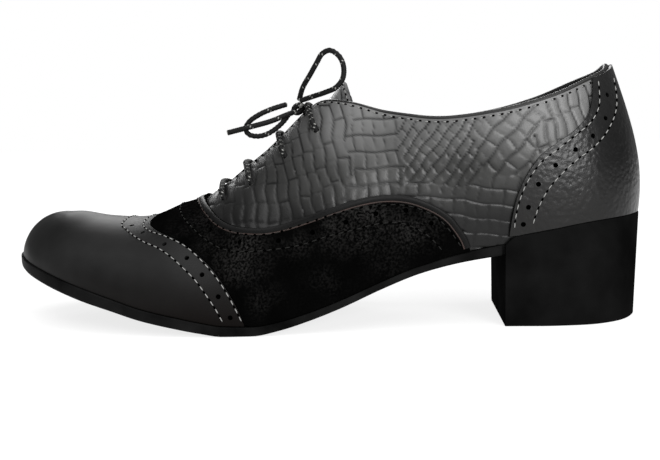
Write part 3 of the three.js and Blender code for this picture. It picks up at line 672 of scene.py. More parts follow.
def per(size):
    """Texture scale at which one cell is a size in millimetres."""
    return 1 / (size * MM)


def surface(name, dark, light, patch, roughness, reliefs, **gloss):
    """Material whose colour and roughness drift in patches of a size in mm.

    roughness is the least and the most. Each relief is a texture, its size in mm and its depth.
    Where dark and light are alike, the colour is the same all over.
    """
    material = bpy.data.materials.new(name)
    material.use_nodes = True
    shader = material.node_tree.nodes["Principled BSDF"]
    place = add_node(material, "ShaderNodeTexCoord").outputs["Object"]
    patches = add_node(material, "ShaderNodeTexNoise", {"Scale": per(patch), "Detail": 4.0},
                       {"Vector": place})
    links = material.node_tree.links
    if dark == light:
        shader.inputs["Base Color"].default_value = dark
    else:
        share = add_node(material, "ShaderNodeMapRange", {"From Min": 0.3, "From Max": 0.7},
                         {"Value": patches.outputs["Fac"]})
        colour = add_node(material, "ShaderNodeMix", {"data_type": "RGBA", 6: dark, 7: light},
                          {0: share.outputs["Result"]})
        links.new(colour.outputs[2], shader.inputs["Base Color"])
    rough = add_node(material, "ShaderNodeMapRange",
                     {"To Min": roughness[0], "To Max": roughness[1]},
                     {"Value": patches.outputs["Fac"]})
    links.new(rough.outputs["Result"], shader.inputs["Roughness"])
    normal = None
    for kind, size, depth in reliefs:
        if kind == "noise":
            height = add_node(material, "ShaderNodeTexNoise", {"Scale": per(size), "Detail": 3.0},
                              {"Vector": place}).outputs["Fac"]
        else:
            height = add_node(material, "ShaderNodeTexVoronoi",
                              {"feature": "SMOOTH_F1", "Scale": per(size)},
                              {"Vector": place}).outputs["Distance"]
        bump = add_node(material, "ShaderNodeBump", {"Distance": depth * MM, "Strength": 1.0},
                        {"Height": height})
        if normal:
            links.new(normal, bump.inputs["Normal"])
        normal = bump.outputs["Normal"]
    if normal:
        links.new(normal, shader.inputs["Normal"])
    for key, value in gloss.items():
        shader.inputs[key.replace("_", " ").title().replace("Ior", "IOR")].default_value = value
    return material


def tinted(material, attribute, tint):
    """Mixes a colour into a material's base colour by an attribute of its piece."""
    shader = material.node_tree.nodes["Principled BSDF"]
    base = shader.inputs["Base Color"].links[0].from_socket
    share = add_node(material, "ShaderNodeAttribute", {"attribute_name": attribute})
    mixed = add_node(material, "ShaderNodeMix", {"data_type": "RGBA", 7: tint},
                     {0: share.outputs["Fac"], 6: base})
    material.node_tree.links.new(mixed.outputs[2], shader.inputs["Base Color"])
    return material


def shaded(material, axis, start, end, tint, most=1.0):
    """Mixes a colour in along an axis, from none at start to most at end, in millimetres."""
    shader = material.node_tree.nodes["Principled BSDF"]
    base = shader.inputs["Base Color"].links[0].from_socket
    place = add_node(material, "ShaderNodeTexCoord").outputs["Object"]
    parts = add_node(material, "ShaderNodeSeparateXYZ", {}, {"Vector": place})
    share = add_node(material, "ShaderNodeMapRange",
                     {"From Min": start * MM, "From Max": end * MM, "To Max": most},
                     {"Value": parts.outputs[axis]})
    mixed = add_node(material, "ShaderNodeMix", {"data_type": "RGBA", 7: tint},
                     {0: share.outputs["Result"], 6: base})
    material.node_tree.links.new(mixed.outputs[2], shader.inputs["Base Color"])
    return material


def embossed_calf(colours):
    # Calf pressed with a crocodile's scales and polished: bright on the crowns of the scales, with
    # a fine pore grain of about 0.4 mm. Its colour holds painted light: painted shade in the
    # grooves, a painted highlight towards the top, and painted shade towards the front and the
    # bottom.
    made = surface("calf_embossed_polished", linear("#282827"), tuple(colours.quarter) + (1,), 26,
                   (0.3, 0.42), (("noise", 0.5, 0.02), ("noise", 4, 0.1)),
                   specular_ior_level=0.26)
    # Painted highlight: lighter towards the top of the quarter.
    shaded(made, "Z", 60, 88, linear("#707070"), 0.7)
    # Painted shade: darker towards the front, over the instep.
    shaded(made, "X", 20, -35, linear("#161616"), 0.8)
    # Painted shade: darker towards the bottom.
    shaded(made, "Z", 66, 42, linear("#0a0a0a"), 0.95)
    # Painted shade: near black in the grooves of the scales.
    return tinted(made, "groove", linear("#070707"))


def folded_calf(colours):
    # The same calf skived and folded over a cord at the collar, where the press left it smooth.
    made = surface("calf_folded_polished", linear("#111111"), linear("#262625"), 14, (0.35, 0.45),
                   (("noise", 0.6, 0.03),), specular_ior_level=0.2)
    # Painted shade: darker towards the front, along the facings.
    return shaded(made, "X", 20, -20, linear("#101010"), 0.9)


def box_calf(colours):
    # Box calf, plated smooth and waxed: soft wide highlights and a grain of about 0.3 mm. Its
    # colour is painted darker on the top, as painted shade that damps the highlight there, and
    # darker towards the bottom as painted shade, brownish there.
    made = surface("box_calf_waxed", linear("#171717"), tuple(colours.cap) + (1,), 30,
                   (0.36, 0.48), (("noise", 0.6, 0.015), ("noise", 7, 0.08)),
                   specular_ior_level=0.055)
    # Painted shade: darker on the top of the cap, damping its highlight.
    shaded(made, "Z", 30, 44, linear("#101010"), 0.75)
    # Painted shade: darker and brownish towards the bottom.
    return shaded(made, "Z", 26, 6, linear("#0b0807"))


def pebbled_calf(colours):
    # Calf crushed in the drum: rounded pebbles of about 2 mm, under a wax polish. Its colour is
    # painted darker and brownish towards the bottom and darker towards the back, as painted shade.
    made = surface("calf_pebbled", linear("#0e0e0e"), tuple(colours.counter) + (1,), 24,
                   (0.28, 0.4), (("voronoi", 1.7, 0.19), ("noise", 0.8, 0.07), ("noise", 12, 0.3)),
                   specular_ior_level=0.3)
    # Painted shade: darker and brownish towards the bottom.
    shaded(made, "Z", 64, 44, linear("#090807"), 0.85)
    # Painted shade: darker towards the back of the heel.
    return shaded(made, "X", 102, 118, linear("#040404"), 0.95)


# Where the nap shows grey specks: x, z and radius in millimetres, and how much.
GREY_SPECK_PATCHES = ((-25, 31, 14, 0.8), (-46, 41, 14, 0.5), (-8, 38, 12, 0.5), (15, 45, 19, 0.9),
                (38, 41, 15, 0.6), (27, 29, 13, 0.2), (-17, 13, 9, 0.35), (5, 20, 7, 0.2))


def hair_calf(colours):
    # Calf with a short dyed nap: it drinks the light and shows grey specks of about 1 mm in
    # patches.
    made = surface("calf_napped", tuple(colours.vamp) + (1,), linear("#050505"), 10, (0.85, 1.0),
                   (("noise", 0.5, 0.12), ("noise", 1.6, 0.15)), specular_ior_level=0.0)
    shader = made.node_tree.nodes["Principled BSDF"]
    base = shader.inputs["Base Color"].links[0].from_socket
    place = add_node(made, "ShaderNodeTexCoord").outputs["Object"]
    wide = add_node(made, "ShaderNodeTexNoise", {"Scale": per(18), "Detail": 3.0},
                    {"Vector": place})
    fine = add_node(made, "ShaderNodeTexNoise", {"Scale": per(0.85), "Detail": 4.0},
                    {"Vector": place})
    where = add_node(made, "ShaderNodeMapRange", {"From Min": 0.34, "From Max": 0.6},
                     {"Value": wide.outputs["Fac"]})
    specks = add_node(made, "ShaderNodeMapRange", {"From Min": 0.42, "From Max": 0.8},
                      {"Value": fine.outputs["Fac"]})
    both = add_node(made, "ShaderNodeMath", {"operation": "MULTIPLY"},
                    {0: where.outputs["Result"], 1: specks.outputs["Result"]})
    side_view = add_node(made, "ShaderNodeVectorMath", {"operation": "MULTIPLY", 1: (1, 0, 1)},
                         {0: place}).outputs[0]
    total = None
    for x, z, radius, strength in GREY_SPECK_PATCHES:
        away = add_node(made, "ShaderNodeVectorMath",
                        {"operation": "DISTANCE", 1: (x * MM, 0, z * MM)}, {0: side_view})
        patch = add_node(made, "ShaderNodeMapRange",
                         {"From Min": radius * MM, "From Max": 0.2 * radius * MM,
                          "To Min": 0.03, "To Max": strength},
                         {"Value": away.outputs["Value"]}).outputs["Result"]
        total = patch if total is None else add_node(
            made, "ShaderNodeMath", {"operation": "MAXIMUM"}, {0: total, 1: patch}).outputs[0]
    specked = add_node(made, "ShaderNodeMath", {"operation": "MULTIPLY"},
                    {0: both.outputs[0], 1: total})
    mixed = add_node(made, "ShaderNodeMix", {"data_type": "RGBA", 7: linear("#3b3a39")},
                     {0: specked.outputs[0], 6: base})
    made.node_tree.links.new(mixed.outputs[2], shader.inputs["Base Color"])
    return made


def edge_leather(colours):
    # Calf edge, skived, folded and inked: darker and duller than the leather it closes.
    return surface("calf_edge_inked", linear("#060606"), tuple(colours.edge) + (1,), 12,
                   (0.42, 0.55), (("noise", 0.7, 0.05),), specular_ior_level=0.12)


def brown_edge(colours):
    # Raw cut edge of brown calf, left undyed in a thin line under the binding.
    return surface("calf_edge_raw", linear("#1a0e09"), linear("#2c1a13"), 6, (0.6, 0.75),
                   (("noise", 0.5, 0.05),))


def lining_leather(colours):
    # Pigskin lining, dyed through and matt, with the pores of the skin about 1.5 mm apart.
    return surface("pigskin_lining", linear("#121212"), tuple(colours.lining) + (1,), 20,
                   (0.6, 0.75), (("voronoi", 1.5, 0.1), ("noise", 0.5, 0.04)))


def sock_leather(colours):
    # Sock of smooth goat leather, rubbed a little shiny where the foot stands.
    return surface("goat_sock", linear("#161616"), linear("#262625"), 24, (0.45, 0.65),
                   (("noise", 0.8, 0.06),))


def sole_rubber(colours):
    # Moulded rubber sole with a buffed edge: near black, matt, with a fine drag of the wheel.
    return surface("rubber_buffed", linear("#020202"), tuple(colours.sole) + (1,), 18,
                   (0.45, 0.58), (("noise", 0.8, 0.03),), specular_ior_level=0.02)


def heel_leather(colours):
    # Stacked heel wrapped in black lacquered leather board: flat sides with a low even gloss.
    return surface("heel_lacquered", linear("#080808"), tuple(colours.heel) + (1,), 22,
                   (0.45, 0.55), (("noise", 1.0, 0.02), ("noise", 8, 0.05)),
                   specular_ior_level=0.0)


def painted_hole_shade(colours):
    # Painted shade in the punched holes: black discs sunk to the bottom of each hole return almost
    # no light and stand in for the shade inside it.
    return surface("hole_shade_painted_black", linear("#010101"), linear("#030303"), 4, (0.95, 1.0),
                   (("noise", 0.4, 0.05),), specular_ior_level=0.0)


def lace_cotton(colours):
    # Waxed round braid of black cotton with white tracer yarns, each float about 1.3 mm long.
    made = surface("cotton_braid_waxed", linear("#050505"), tuple(colours.lace) + (1,), 3,
                   (0.6, 0.75), (("noise", 0.3, 0.03),), specular_ior_level=0.2)
    return tinted(made, "fleck", linear("#a0a09c"))


def sewing_thread(name, code, gloss):
    # Bonded polyester thread, 0.5 mm thick: slightly glossy, its twist too fine to show. The same
    # finish in black paints the shade in the needle holes.
    return surface(name, linear(code), linear(code), 3, (0.45, 0.55), (("noise", 0.25, 0.02),),
                   specular_ior_level=gloss)


# The pieces


def upper_sheet(name, start, end, step, rows, offset, relief=None):
    """Open sheet over both sides of the upper between two stations, closed at its ends."""
    places = stations(start, end, step)
    t = np.linspace(0, 1, rows + 1)
    columns = []
    for side in (-1, 1):
        order = places if side > 0 else places[::-1]
        for s in order:
            points = upper_points(s, side, t, offset)
            lift = relief(points, side, s, t) if relief else None
            if lift is not None:
                points = upper_points(s, side, t, offset + lift)
            columns.append(points)
    if start == 0:
        del columns[len(places)]
        piece = sheet(name, np.array(columns))
    else:
        count = len(places)
        halves = [sheet(name, np.array(columns[:count])), sheet(name, np.array(columns[count:]))]
        deselect()
        for half in halves:
            half.select_set(True)
        bpy.context.view_layer.objects.active = halves[0]
        bpy.ops.object.join()
        piece = halves[0]
        piece.name = piece.data.name = name
    edit(piece, (bpy.ops.mesh.remove_doubles, {"threshold": 0.01 * MM}),
         (bpy.ops.mesh.normals_make_consistent, {"inside": False}))
    face_out(piece)
    return piece


def edge_line(table, shift=0.0, step=1.5):
    """Edge of a panel in side view, as smooth points of x and z."""
    points = []
    for along, height in table:
        x = FRONT + along * LENGTH
        points.append((x + shift, sole_top(x) + height * COLLAR_HEIGHT + shift))
    return [tuple(p) for p in curve_through(points, step)]


def lower_edge(line, start, end):
    return [(float(x), line(float(x)) + GAP)
            for x in np.linspace(start, end, int(abs(end - start) / 2) + 2)]


TOP = 2 * COLLAR_HEIGHT
HOLE_RADIUS = 0.95
SHADE_DISC_RADIUS = 1.1
SHADE_DISC_THICKNESS = 0.2


def cap_outline():
    edge = [p for p in edge_line(CAP_EDGE) if p[1] > sole_top(p[0]) + GAP]
    ahead = FRONT - 2
    return [(ahead, TOP), (edge[0][0], TOP), *edge, *lower_edge(sole_top, edge[-1][0], ahead)]


def vamp_outline():
    front = [p for p in edge_line(CAP_EDGE, GAP) if p[1] > sole_top(p[0]) + GAP][::-1]
    back = [p for p in edge_line(VAMP_EDGE) if p[1] > sole_top(p[0]) + GAP]
    return [(front[-1][0], TOP), (back[0][0], TOP), *back,
            *lower_edge(sole_top, back[-1][0], front[0][0])[:-1], *front]


def counter_outline():
    rim_x = FRONT + BREAST_AT + RIM_RUN
    lowest = rim_top(rim_x) + GAP
    front = [p for p in edge_line(COUNTER_EDGE) if p[1] > lowest]
    back = -FRONT + OVERLAY
    return [(back, TOP), (front[0][0], TOP), *front, (front[-1][0], lowest),
            *lower_edge(rim_top, rim_x + 1, back)]


def punches(tree, points, radius, depth=3.0, sink=0.0):
    """Cylinders at points on a piece's surface, or sunk below them."""
    deselect()
    bpy.ops.mesh.primitive_cylinder_add(vertices=14, radius=radius * MM, depth=depth * MM)
    model = bpy.context.object
    on, normals = nearest(tree, points)
    on = on - normals * sink
    places = [standing(p, (0.3, 0.2, 1), n) if abs(n[2]) < 0.9 else standing(p, (1, 0, 0), n)
              for p, n in zip(on, normals)]
    return repeated("punches", model, places)


def panel(name, start, end, outline, holes, step=1.0, rows=64):
    """Overlay leather cut to its outline in side view and punched."""
    piece = upper_sheet(name, start, end, step, rows, GAP + OVERLAY)
    modify(piece, "SOLIDIFY", thickness=OVERLAY * MM, offset=-1, use_even_offset=False)
    cut(piece, side_block(outline), "INTERSECT")
    tree = tree_of(piece)
    places = []
    for side in (-1, 1):
        places += [p for p in (cast(tree, x, z, side) for x, z in holes) if p is not None]
    # Black discs at the bottom of the holes paint the shade inside them.
    shade_discs = punches(tree, places, SHADE_DISC_RADIUS, SHADE_DISC_THICKNESS, OVERLAY)
    shade_discs.name = shade_discs.data.name = f"{name}_backing"
    finish_piece(shade_discs, material_of(painted_hole_shade), name)
    cut(piece, punches(tree, places, HOLE_RADIUS), "DIFFERENCE")
    smooth(piece)
    return piece


# Embossed scales in side view: where each lattice starts and how it turns, the width and height
# of its scales, whether its columns or its rows run through, how far the broken ones are
# staggered, how much all of them waver, and how much narrower the whole lattice is drawn.
INSTEP = ((0, 60), 0.2, 4.3, 7.0, "columns", 0.8, 0.9, 1)
WAIST = ((22, 70), 0.06, 4.1, 5.9, "rows", 0.12, 0.6, 1)
DIAMONDS = ((45, 70), 0.8, 4.1, 4.2, "rows", 0.08, 0.75, 1.35)
PLATES = ((72, 75), 0.84, 5.6, 5.9, "rows", 0.12, 1.0, 1.15)
REAR = ((95, 80), 0.24, 4.0, 8.5, "columns", 0.7, 0.7, 1)
LOWER_REAR = ((60, 45), -0.1, 4.7, 5.6, "rows", 0.3, 0.7, 1)
PROFILE_LENGTH = 75  # usual length of a profile line, from sole to collar


def scales(flat, lattice, salt):
    """Distance of each point to the edge of its scale, and its place in the scale."""
    (x, z), turn, wide, high, running, stagger, waver, narrow = lattice
    level, up = (flat[:, 0] - x) * narrow, flat[:, 1] - z
    a = level * math.cos(turn) + up * math.sin(turn)
    b = up * math.cos(turn) - level * math.sin(turn)
    a = a + waver * (0.5 * np.sin(b / 2.1 + a / 5.0 + salt) + 0.7 * np.sin(b / 7.3 + a / 9.0))
    b = b + waver * (0.4 * np.sin(a / 2.3 - b / 6.0 + salt) + 0.8 * np.sin(a / 8.1 - b / 11.0))
    through, broken = (a / wide, b / high) if running == "columns" else (b / high, a / wide)
    band = np.rint(through)
    slide = 0.5 + 0.5 * np.sin(band * 12.9898 + salt * 4.1)
    broken = broken + slide * stagger
    cell = np.rint(broken)
    across, along = through - band, broken - cell
    size = (wide, high) if running == "columns" else (high, wide)
    faint = 0.2 * (1 + np.sin(band * 41.3 + np.floor(broken + 0.5 * np.sign(along)) * 9.7))
    edge = np.minimum((0.5 - np.abs(across)) * size[0], (0.5 - np.abs(along)) * size[1] + faint)
    tilt = np.sin(band * 78.2 + cell * 37.7 + salt)
    return edge, across * tilt + along * np.cos(band * 51.3 + cell * 17.1)


def emboss(piece, plain=0.0):
    """Presses the scales into a piece along its normals, and marks their grooves for painted
    shade.

    plain is the width in mm that is left smooth along the top edge.

    Tall narrow scales cover the instep, bricks the waist, small diamonds and wide plates the
    upper middle, tall plates the upper rear and low rows the lower rear.
    """
    points = coordinates(piece)
    mesh = piece.data
    normals = np.empty(len(mesh.vertices) * 3)
    mesh.vertices.foreach_get("normal", normals)
    normals = normals.reshape(-1, 3)
    flat = points[:, (0, 2)] / MM
    salt = np.where(points[:, 1] < 0, 0.7, 2.9)
    x, z = flat.T
    upper = z > 54 + 1.5 * np.sin(x / 5.0) + 0.06 * (x - 40)
    swing = 1.6 * np.sin(z / 3.0)
    zones = [(x < 14 + swing, INSTEP), (x < 33 + swing, WAIST),
             (upper & (x < 62 + swing), DIAMONDS), (upper & (x < 84 + swing), PLATES),
             (upper, REAR), (np.ones(len(x), bool), LOWER_REAR)]
    edge, tilt = np.zeros(len(x)), np.zeros(len(x))
    free = np.ones(len(x), bool)
    for zone, lattice in zones:
        here = zone & free
        edge[here], tilt[here] = scales(flat[here], lattice, salt[here])
        free &= ~zone
    groove = 1 - smoothstep(edge, 0.0, 0.62)
    lift = 0.1 * smoothstep(edge, 0.2, 1.8) + 0.12 * tilt * (1 - groove) - 0.26 * groove
    if plain:
        rise = np.empty(len(x))
        mesh.attributes["rise"].data.foreach_get("value", rise)
        pressed = smoothstep((1 - rise) * PROFILE_LENGTH, plain - 0.4, plain + 0.4)
        groove, lift = groove * pressed, lift * pressed
    moved = points + normals * (lift * MM)[:, None]
    mesh.vertices.foreach_set("co", moved.ravel())
    # The groove mark is where the material paints shade into the grooves.
    mark = mesh.attributes.new("groove", "FLOAT", "POINT")
    mark.data.foreach_set("value", groove)
    mesh.update()


def eyelet_places():
    found = []
    for share in EYELETS:
        s = THROAT + share * (CORNER - THROAT)
        found.append((s, down_from_top(s, -1, EYELET_INSET)))
    return found


def stitch_model(length, thick):
    """One stitch: a slim rounded bar that sinks at both ends."""
    deselect()
    bpy.ops.mesh.primitive_uv_sphere_add(segments=6, ring_count=4, radius=1)
    stitch = bpy.context.object
    edit(stitch, (bpy.ops.transform.rotate, {"value": math.pi / 2, "orient_axis": "Y",
                                             "center_override": (0, 0, 0)}),
         (bpy.ops.transform.resize, {"value": (length / 2 * MM, thick / 2 * MM, thick / 2 * MM)}))
    return stitch


def stitch_row(name, line, material, slot, length=1.9, pitch=3.0, thick=0.5, lift=0.05):
    """Row of stitches along a line of points and normals."""
    points, normals = line
    along = directions(points)
    lengths = np.concatenate(([0], np.cumsum(np.linalg.norm(np.diff(points, axis=0), axis=1))))
    count = int(lengths[-1] / pitch)
    places = []
    for k in range(count):
        at = (k + 0.5) * lengths[-1] / count
        p = [np.interp(at, lengths, points[:, m]) for m in range(3)]
        n = [np.interp(at, lengths, normals[:, m]) for m in range(3)]
        d = [np.interp(at, lengths, along[:, m]) for m in range(3)]
        n = np.array(n) / np.linalg.norm(n)
        places.append(standing(np.array(p) + n * lift, d, n))
    piece = repeated(name, stitch_model(length, thick), places)
    smooth(piece, 80)
    return finish_piece(piece, material, slot)


BRAID_PITCH = 1.6


def braid(turn, lengths):
    a = 3 * turn + lengths / BRAID_PITCH
    b = 3 * turn - lengths / BRAID_PITCH
    return 0.1 * np.maximum(np.cos(2 * math.pi * a), np.cos(2 * math.pi * b))


def lace(name, points, every=2):
    """Round braided lace along a line, with its tracer yarns marked, one strand in every few."""
    route = curve_through(points, 0.4)
    piece = tube(name, route, LACE_DIAMETER / 2 * 0.95, 12, relief=braid)
    mesh = piece.data
    layer = mesh.uv_layers.active.data
    total = float(np.sum(np.linalg.norm(np.diff(route, axis=0), axis=1)))
    fleck = np.zeros(len(mesh.vertices))
    for loop in mesh.loops:
        v, u = layer[loop.index].uv
        a, b = 3 * u + v * total / BRAID_PITCH, 3 * u - v * total / BRAID_PITCH
        top = math.cos(2 * math.pi * a)
        if round(a) % every == 0 and top > 0.5 and math.cos(2 * math.pi * b) > 0.3:
            fleck[loop.vertex_index] = 1
    mark = mesh.attributes.new("fleck", "FLOAT", "POINT")
    mark.data.foreach_set("value", fleck)
    smooth(piece, 60)
    return piece, route


def plate(name, start, end, edge_at, rings, step=2.0, extra=()):
    """Closed plate whose rings follow the loop, each with an inset and a height line."""
    places = sorted([*stations(start, end, step), *extra])
    columns = []
    sides = [(s, -1) for s in places[::-1]] + [(s, 1) for s in places]
    for s, side in sides:
        if s in (0, LAST):
            side = -1
        column = []
        for inset, line, lift in rings:
            point = foot(s, side) + outward(s, side) * (edge_at(s) - inset)
            point[2] = line(float(point[0])) + lift
            column.append(point)
        columns.append(column)
    left, right = np.array(columns[:len(places)]), np.array(columns[len(places):])
    # The walls run round the loop and across its front, and the faces are ladders between them.
    front = (left[-1:] + right[:1]) / 2
    wall = sheet(name, np.concatenate((left, front, right)))
    faces = []
    for ring in (0, len(rings) - 1):
        ladder = np.stack((left[::-1, ring], right[:, ring]), axis=1)
        middle = ladder.mean(axis=1, keepdims=True)
        faces.append(sheet(name, np.concatenate((ladder[:, :1], middle, ladder[:, 1:]), axis=1)))
    deselect()
    for piece in (wall, *faces):
        piece.select_set(True)
    bpy.context.view_layer.objects.active = wall
    bpy.ops.object.join()
    wall.name = wall.data.name = name
    edit(wall, (bpy.ops.mesh.remove_doubles, {"threshold": 0.01 * MM}),
         (bpy.ops.mesh.normals_make_consistent, {"inside": False}))
    return wall


# Settings


class OxfordSizes(bpy.types.PropertyGroup):
    """Sizes of the finish that a user may change."""

    stitch: bpy.props.FloatProperty(
        name="Stitch", description="Length of one stitch that shows", default=2.2 * MM,
        min=0.5 * MM, unit="LENGTH")
    pitch: bpy.props.FloatProperty(
        name="Pitch", description="Distance from one stitch to the next", default=3.4 * MM,
        min=1 * MM, unit="LENGTH")
    grid: bpy.props.FloatProperty(
        name="Fineness", description="Side of one face of the embossed leather",
        default=0.68 * MM, min=0.4 * MM, unit="LENGTH")
    floor: bpy.props.FloatProperty(
        name="Floor", description="Side of the floor", default=6.0, min=1.0, unit="LENGTH")


def colour_property(name, code):
    return bpy.props.FloatVectorProperty(
        name=name, description=f"Colour of the {name.lower()} where it is lightest",
        subtype="COLOR", size=3, default=linear(code)[:3], min=0, max=1)


class OxfordColours(bpy.types.PropertyGroup):
    """Colours that a user may change."""

    quarter: colour_property("Quarter", "#4d4d4c")
    cap: colour_property("Toe cap", "#262626")
    counter: colour_property("Counter", "#1f1f1f")
    vamp: colour_property("Vamp", "#030303")
    edge: colour_property("Folded edge", "#0e0e0e")
    lining: colour_property("Lining", "#1f1f1f")
    sole: colour_property("Sole", "#191919")
    heel: colour_property("Heel", "#141414")
    lace: colour_property("Lace", "#0d0d0d")


def sizes():
    return bpy.context.scene.oxford_sizes


MADE = {}


def material_of(make):
    """The material that a function makes, made once."""
    key = make.__name__
    if key not in MADE:
        MADE[key] = make(bpy.context.scene.oxford_colours)
    return MADE[key]


# Colour and specular level of each thread; the black one is no thread but paints the shade in
# the needle holes.
THREADS = {"grey": ("#8c8c8a", 0.3), "smoke": ("#232322", 0.03), "black": ("#020202", 0.0)}


def thread(shade):
    key = f"thread_and_hole_shade_{shade}"
    if key not in MADE:
        MADE[key] = sewing_thread(key, *THREADS[shade])
    return MADE[key]


def double_row(name, line, slot, shade="grey"):
    """Stitches along a line, with a black bar between each two of them that paints the shade of a
    needle hole.
    """
    pitch, length = sizes().pitch / MM, sizes().stitch / MM
    stitch_row(name, line, thread(shade), slot, length, pitch, 0.42)
    points, normals = line
    gap = pitch / 2
    far = int(gap / np.linalg.norm(points[1] - points[0]))
    shifted = (points[far:-far or None], normals[far:-far or None])
    # Black bars between the stitches paint the shade in the needle holes.
    stitch_row(f"{name}_pricks", shifted, thread("black"), slot, 1.3, pitch, 0.8, 0.05)


class OXFORD_OT_stage(bpy.types.Operator):
    """Set the floor, the soft lights and the camera of the photograph's view"""

    bl_idname = "oxford.stage"
    bl_label = "Stage"

    def execute(self, context):
        deselect()
        bpy.ops.mesh.primitive_plane_add(size=sizes().floor)
        floor = context.object
        floor.name = "floor"
        # Opal acrylic lit from below, as under a cut-out: it leaves next to no shadow.
        table = surface("acrylic_opal_lit", linear("#848484"), linear("#8a8a8a"), 400,
                        (0.85, 0.95), (("noise", 3, 0.02),), specular_ior_level=0.0,
                        emission_strength=0.8)
        table.node_tree.nodes["Principled BSDF"].inputs["Emission Color"].default_value = (
            linear("#ffffff"))
        floor.data.materials.append(table)
        for name, place, aim, size, power in LIGHTS:
            data = bpy.data.lights.new(name, "AREA")
            data.shape = "RECTANGLE"
            data.size, data.size_y = size
            data.energy = power
            lamp = bpy.data.objects.new(name, data)
            context.collection.objects.link(lamp)
            lamp.location = place
            lamp.rotation_euler = (Vector(aim) - Vector(place)).to_track_quat(
                "-Z", "Y").to_euler()
        self.world(context)
        self.camera(context)
        return {"FINISHED"}

    def world(self, context):
        """White to look at, and dim as a light, so that the soft boxes model the leather."""
        world = bpy.data.worlds.new("studio")
        world.use_nodes = True
        background = world.node_tree.nodes["Background"]
        seen = add_node(world, "ShaderNodeLightPath")
        strength = add_node(world, "ShaderNodeMapRange", {"To Min": WORLD_LIGHT, "To Max": 1.0},
                            {"Value": seen.outputs["Is Camera Ray"]})
        world.node_tree.links.new(strength.outputs["Result"], background.inputs["Strength"])
        background.inputs["Color"].default_value = linear("#ffffff")
        context.scene.world = world
        context.scene.view_settings.view_transform = "Standard"
        sun = bpy.data.lights.new("overhead", "SUN")
        sun.energy = OVERHEAD_LIGHT
        sun.angle = math.radians(OVERHEAD_SPREAD)
        lamp = bpy.data.objects.new("overhead", sun)
        context.collection.objects.link(lamp)
        lamp.rotation_euler = Vector(OVERHEAD_FROM).to_track_quat("Z", "Y").to_euler()

    def camera(self, context):
        yaw, pitch, roll = (math.radians(angle) for angle in CAMERA_ANGLES)
        ahead = Vector((-math.sin(yaw), math.cos(yaw), 0))
        right = Vector((math.cos(yaw), math.sin(yaw), 0))
        forward = ahead * math.cos(pitch) - Vector((0, 0, math.sin(pitch)))
        up = ahead * math.sin(pitch) + Vector((0, 0, math.cos(pitch)))
        side = right * math.cos(roll) + up * math.sin(roll)
        above = up * math.cos(roll) - right * math.sin(roll)
        turn = Matrix((side, above, -forward)).transposed().to_4x4()
        data = bpy.data.cameras.new("camera")
        data.lens = CAMERA_LENS
        camera = bpy.data.objects.new("camera", data)
        context.collection.objects.link(camera)
        camera.matrix_world = Matrix.Translation(Vector(CAMERA_PLACE) * MM) @ turn
        data.clip_start = 0.01
        context.scene.camera = camera


CAMERA_PLACE = (32.78, -374.1, 77.07)
CAMERA_ANGLES = (4.374, 6.459, -1.224)
CAMERA_LENS = 50.39
WORLD_LIGHT = 0.22
OVERHEAD_LIGHT = 2.7
OVERHEAD_SPREAD = 70
OVERHEAD_FROM = (0.12, -0.3, 1.0)
# Name, place, aim, size and power of each soft box, in metres and watts.
LIGHTS = (
    ("side_box", (0.55, -1.0, 0.42), (0.08, 0.0, 0.07), (0.45, 0.35), 10),
    ("back_box", (-0.2, 1.1, 0.6), (0.0, 0.0, 0.05), (0.8, 0.4), 6),
)


class OXFORD_OT_laces(bpy.types.Operator):
    """Lay the laces through the eyelets and tie the bow"""

    bl_idname = "oxford.laces"
    bl_label = "Laces"

    def execute(self, context):
        material = material_of(lace_cotton)
        lift = LACE_DIAMETER / 2 + 2 * GAP
        for index, (s, t) in enumerate(eyelet_places()):
            halves = []
            for side in (-1, 1):
                hole = upper_point(s, side, t, -1.2)
                over = [upper_point(s, side, at, lift) for at in np.linspace(t + 0.03, 1, 6)]
                halves.append([hole, *over])
            points = [*halves[0], *halves[1][::-1]]
            piece, _ = lace(f"lace_bar_{index + 1}", points)
            finish_piece(piece, material, "lace", f"lace_bar_{index + 1}")
        knot = []
        lean = math.radians(KNOT_LEAN)
        wound = 2 * math.pi * KNOT_TURNS
        for turn in np.linspace(0, wound, 40):
            along, thick = KNOT_REACH * math.cos(turn), KNOT_THICKNESS * math.sin(turn)
            knot.append((KNOT_MIDDLE[0] + along * math.cos(lean) - thick * math.sin(lean),
                         KNOT_MIDDLE[1] + KNOT_WIDTH * (turn / wound - 0.5),
                         KNOT_MIDDLE[2] + along * math.sin(lean) + thick * math.cos(lean)))
        wrap, _ = lace("lace_knot", knot, 3)
        finish_piece(wrap, material, "lace", "lace_knot")
        for name, (end, points) in BOW.items():
            piece, route = lace(name, points, 7)
            finish_piece(piece, material, "lace", name)
            [[c * MM for c in p] for p in route]
        return {"FINISHED"}


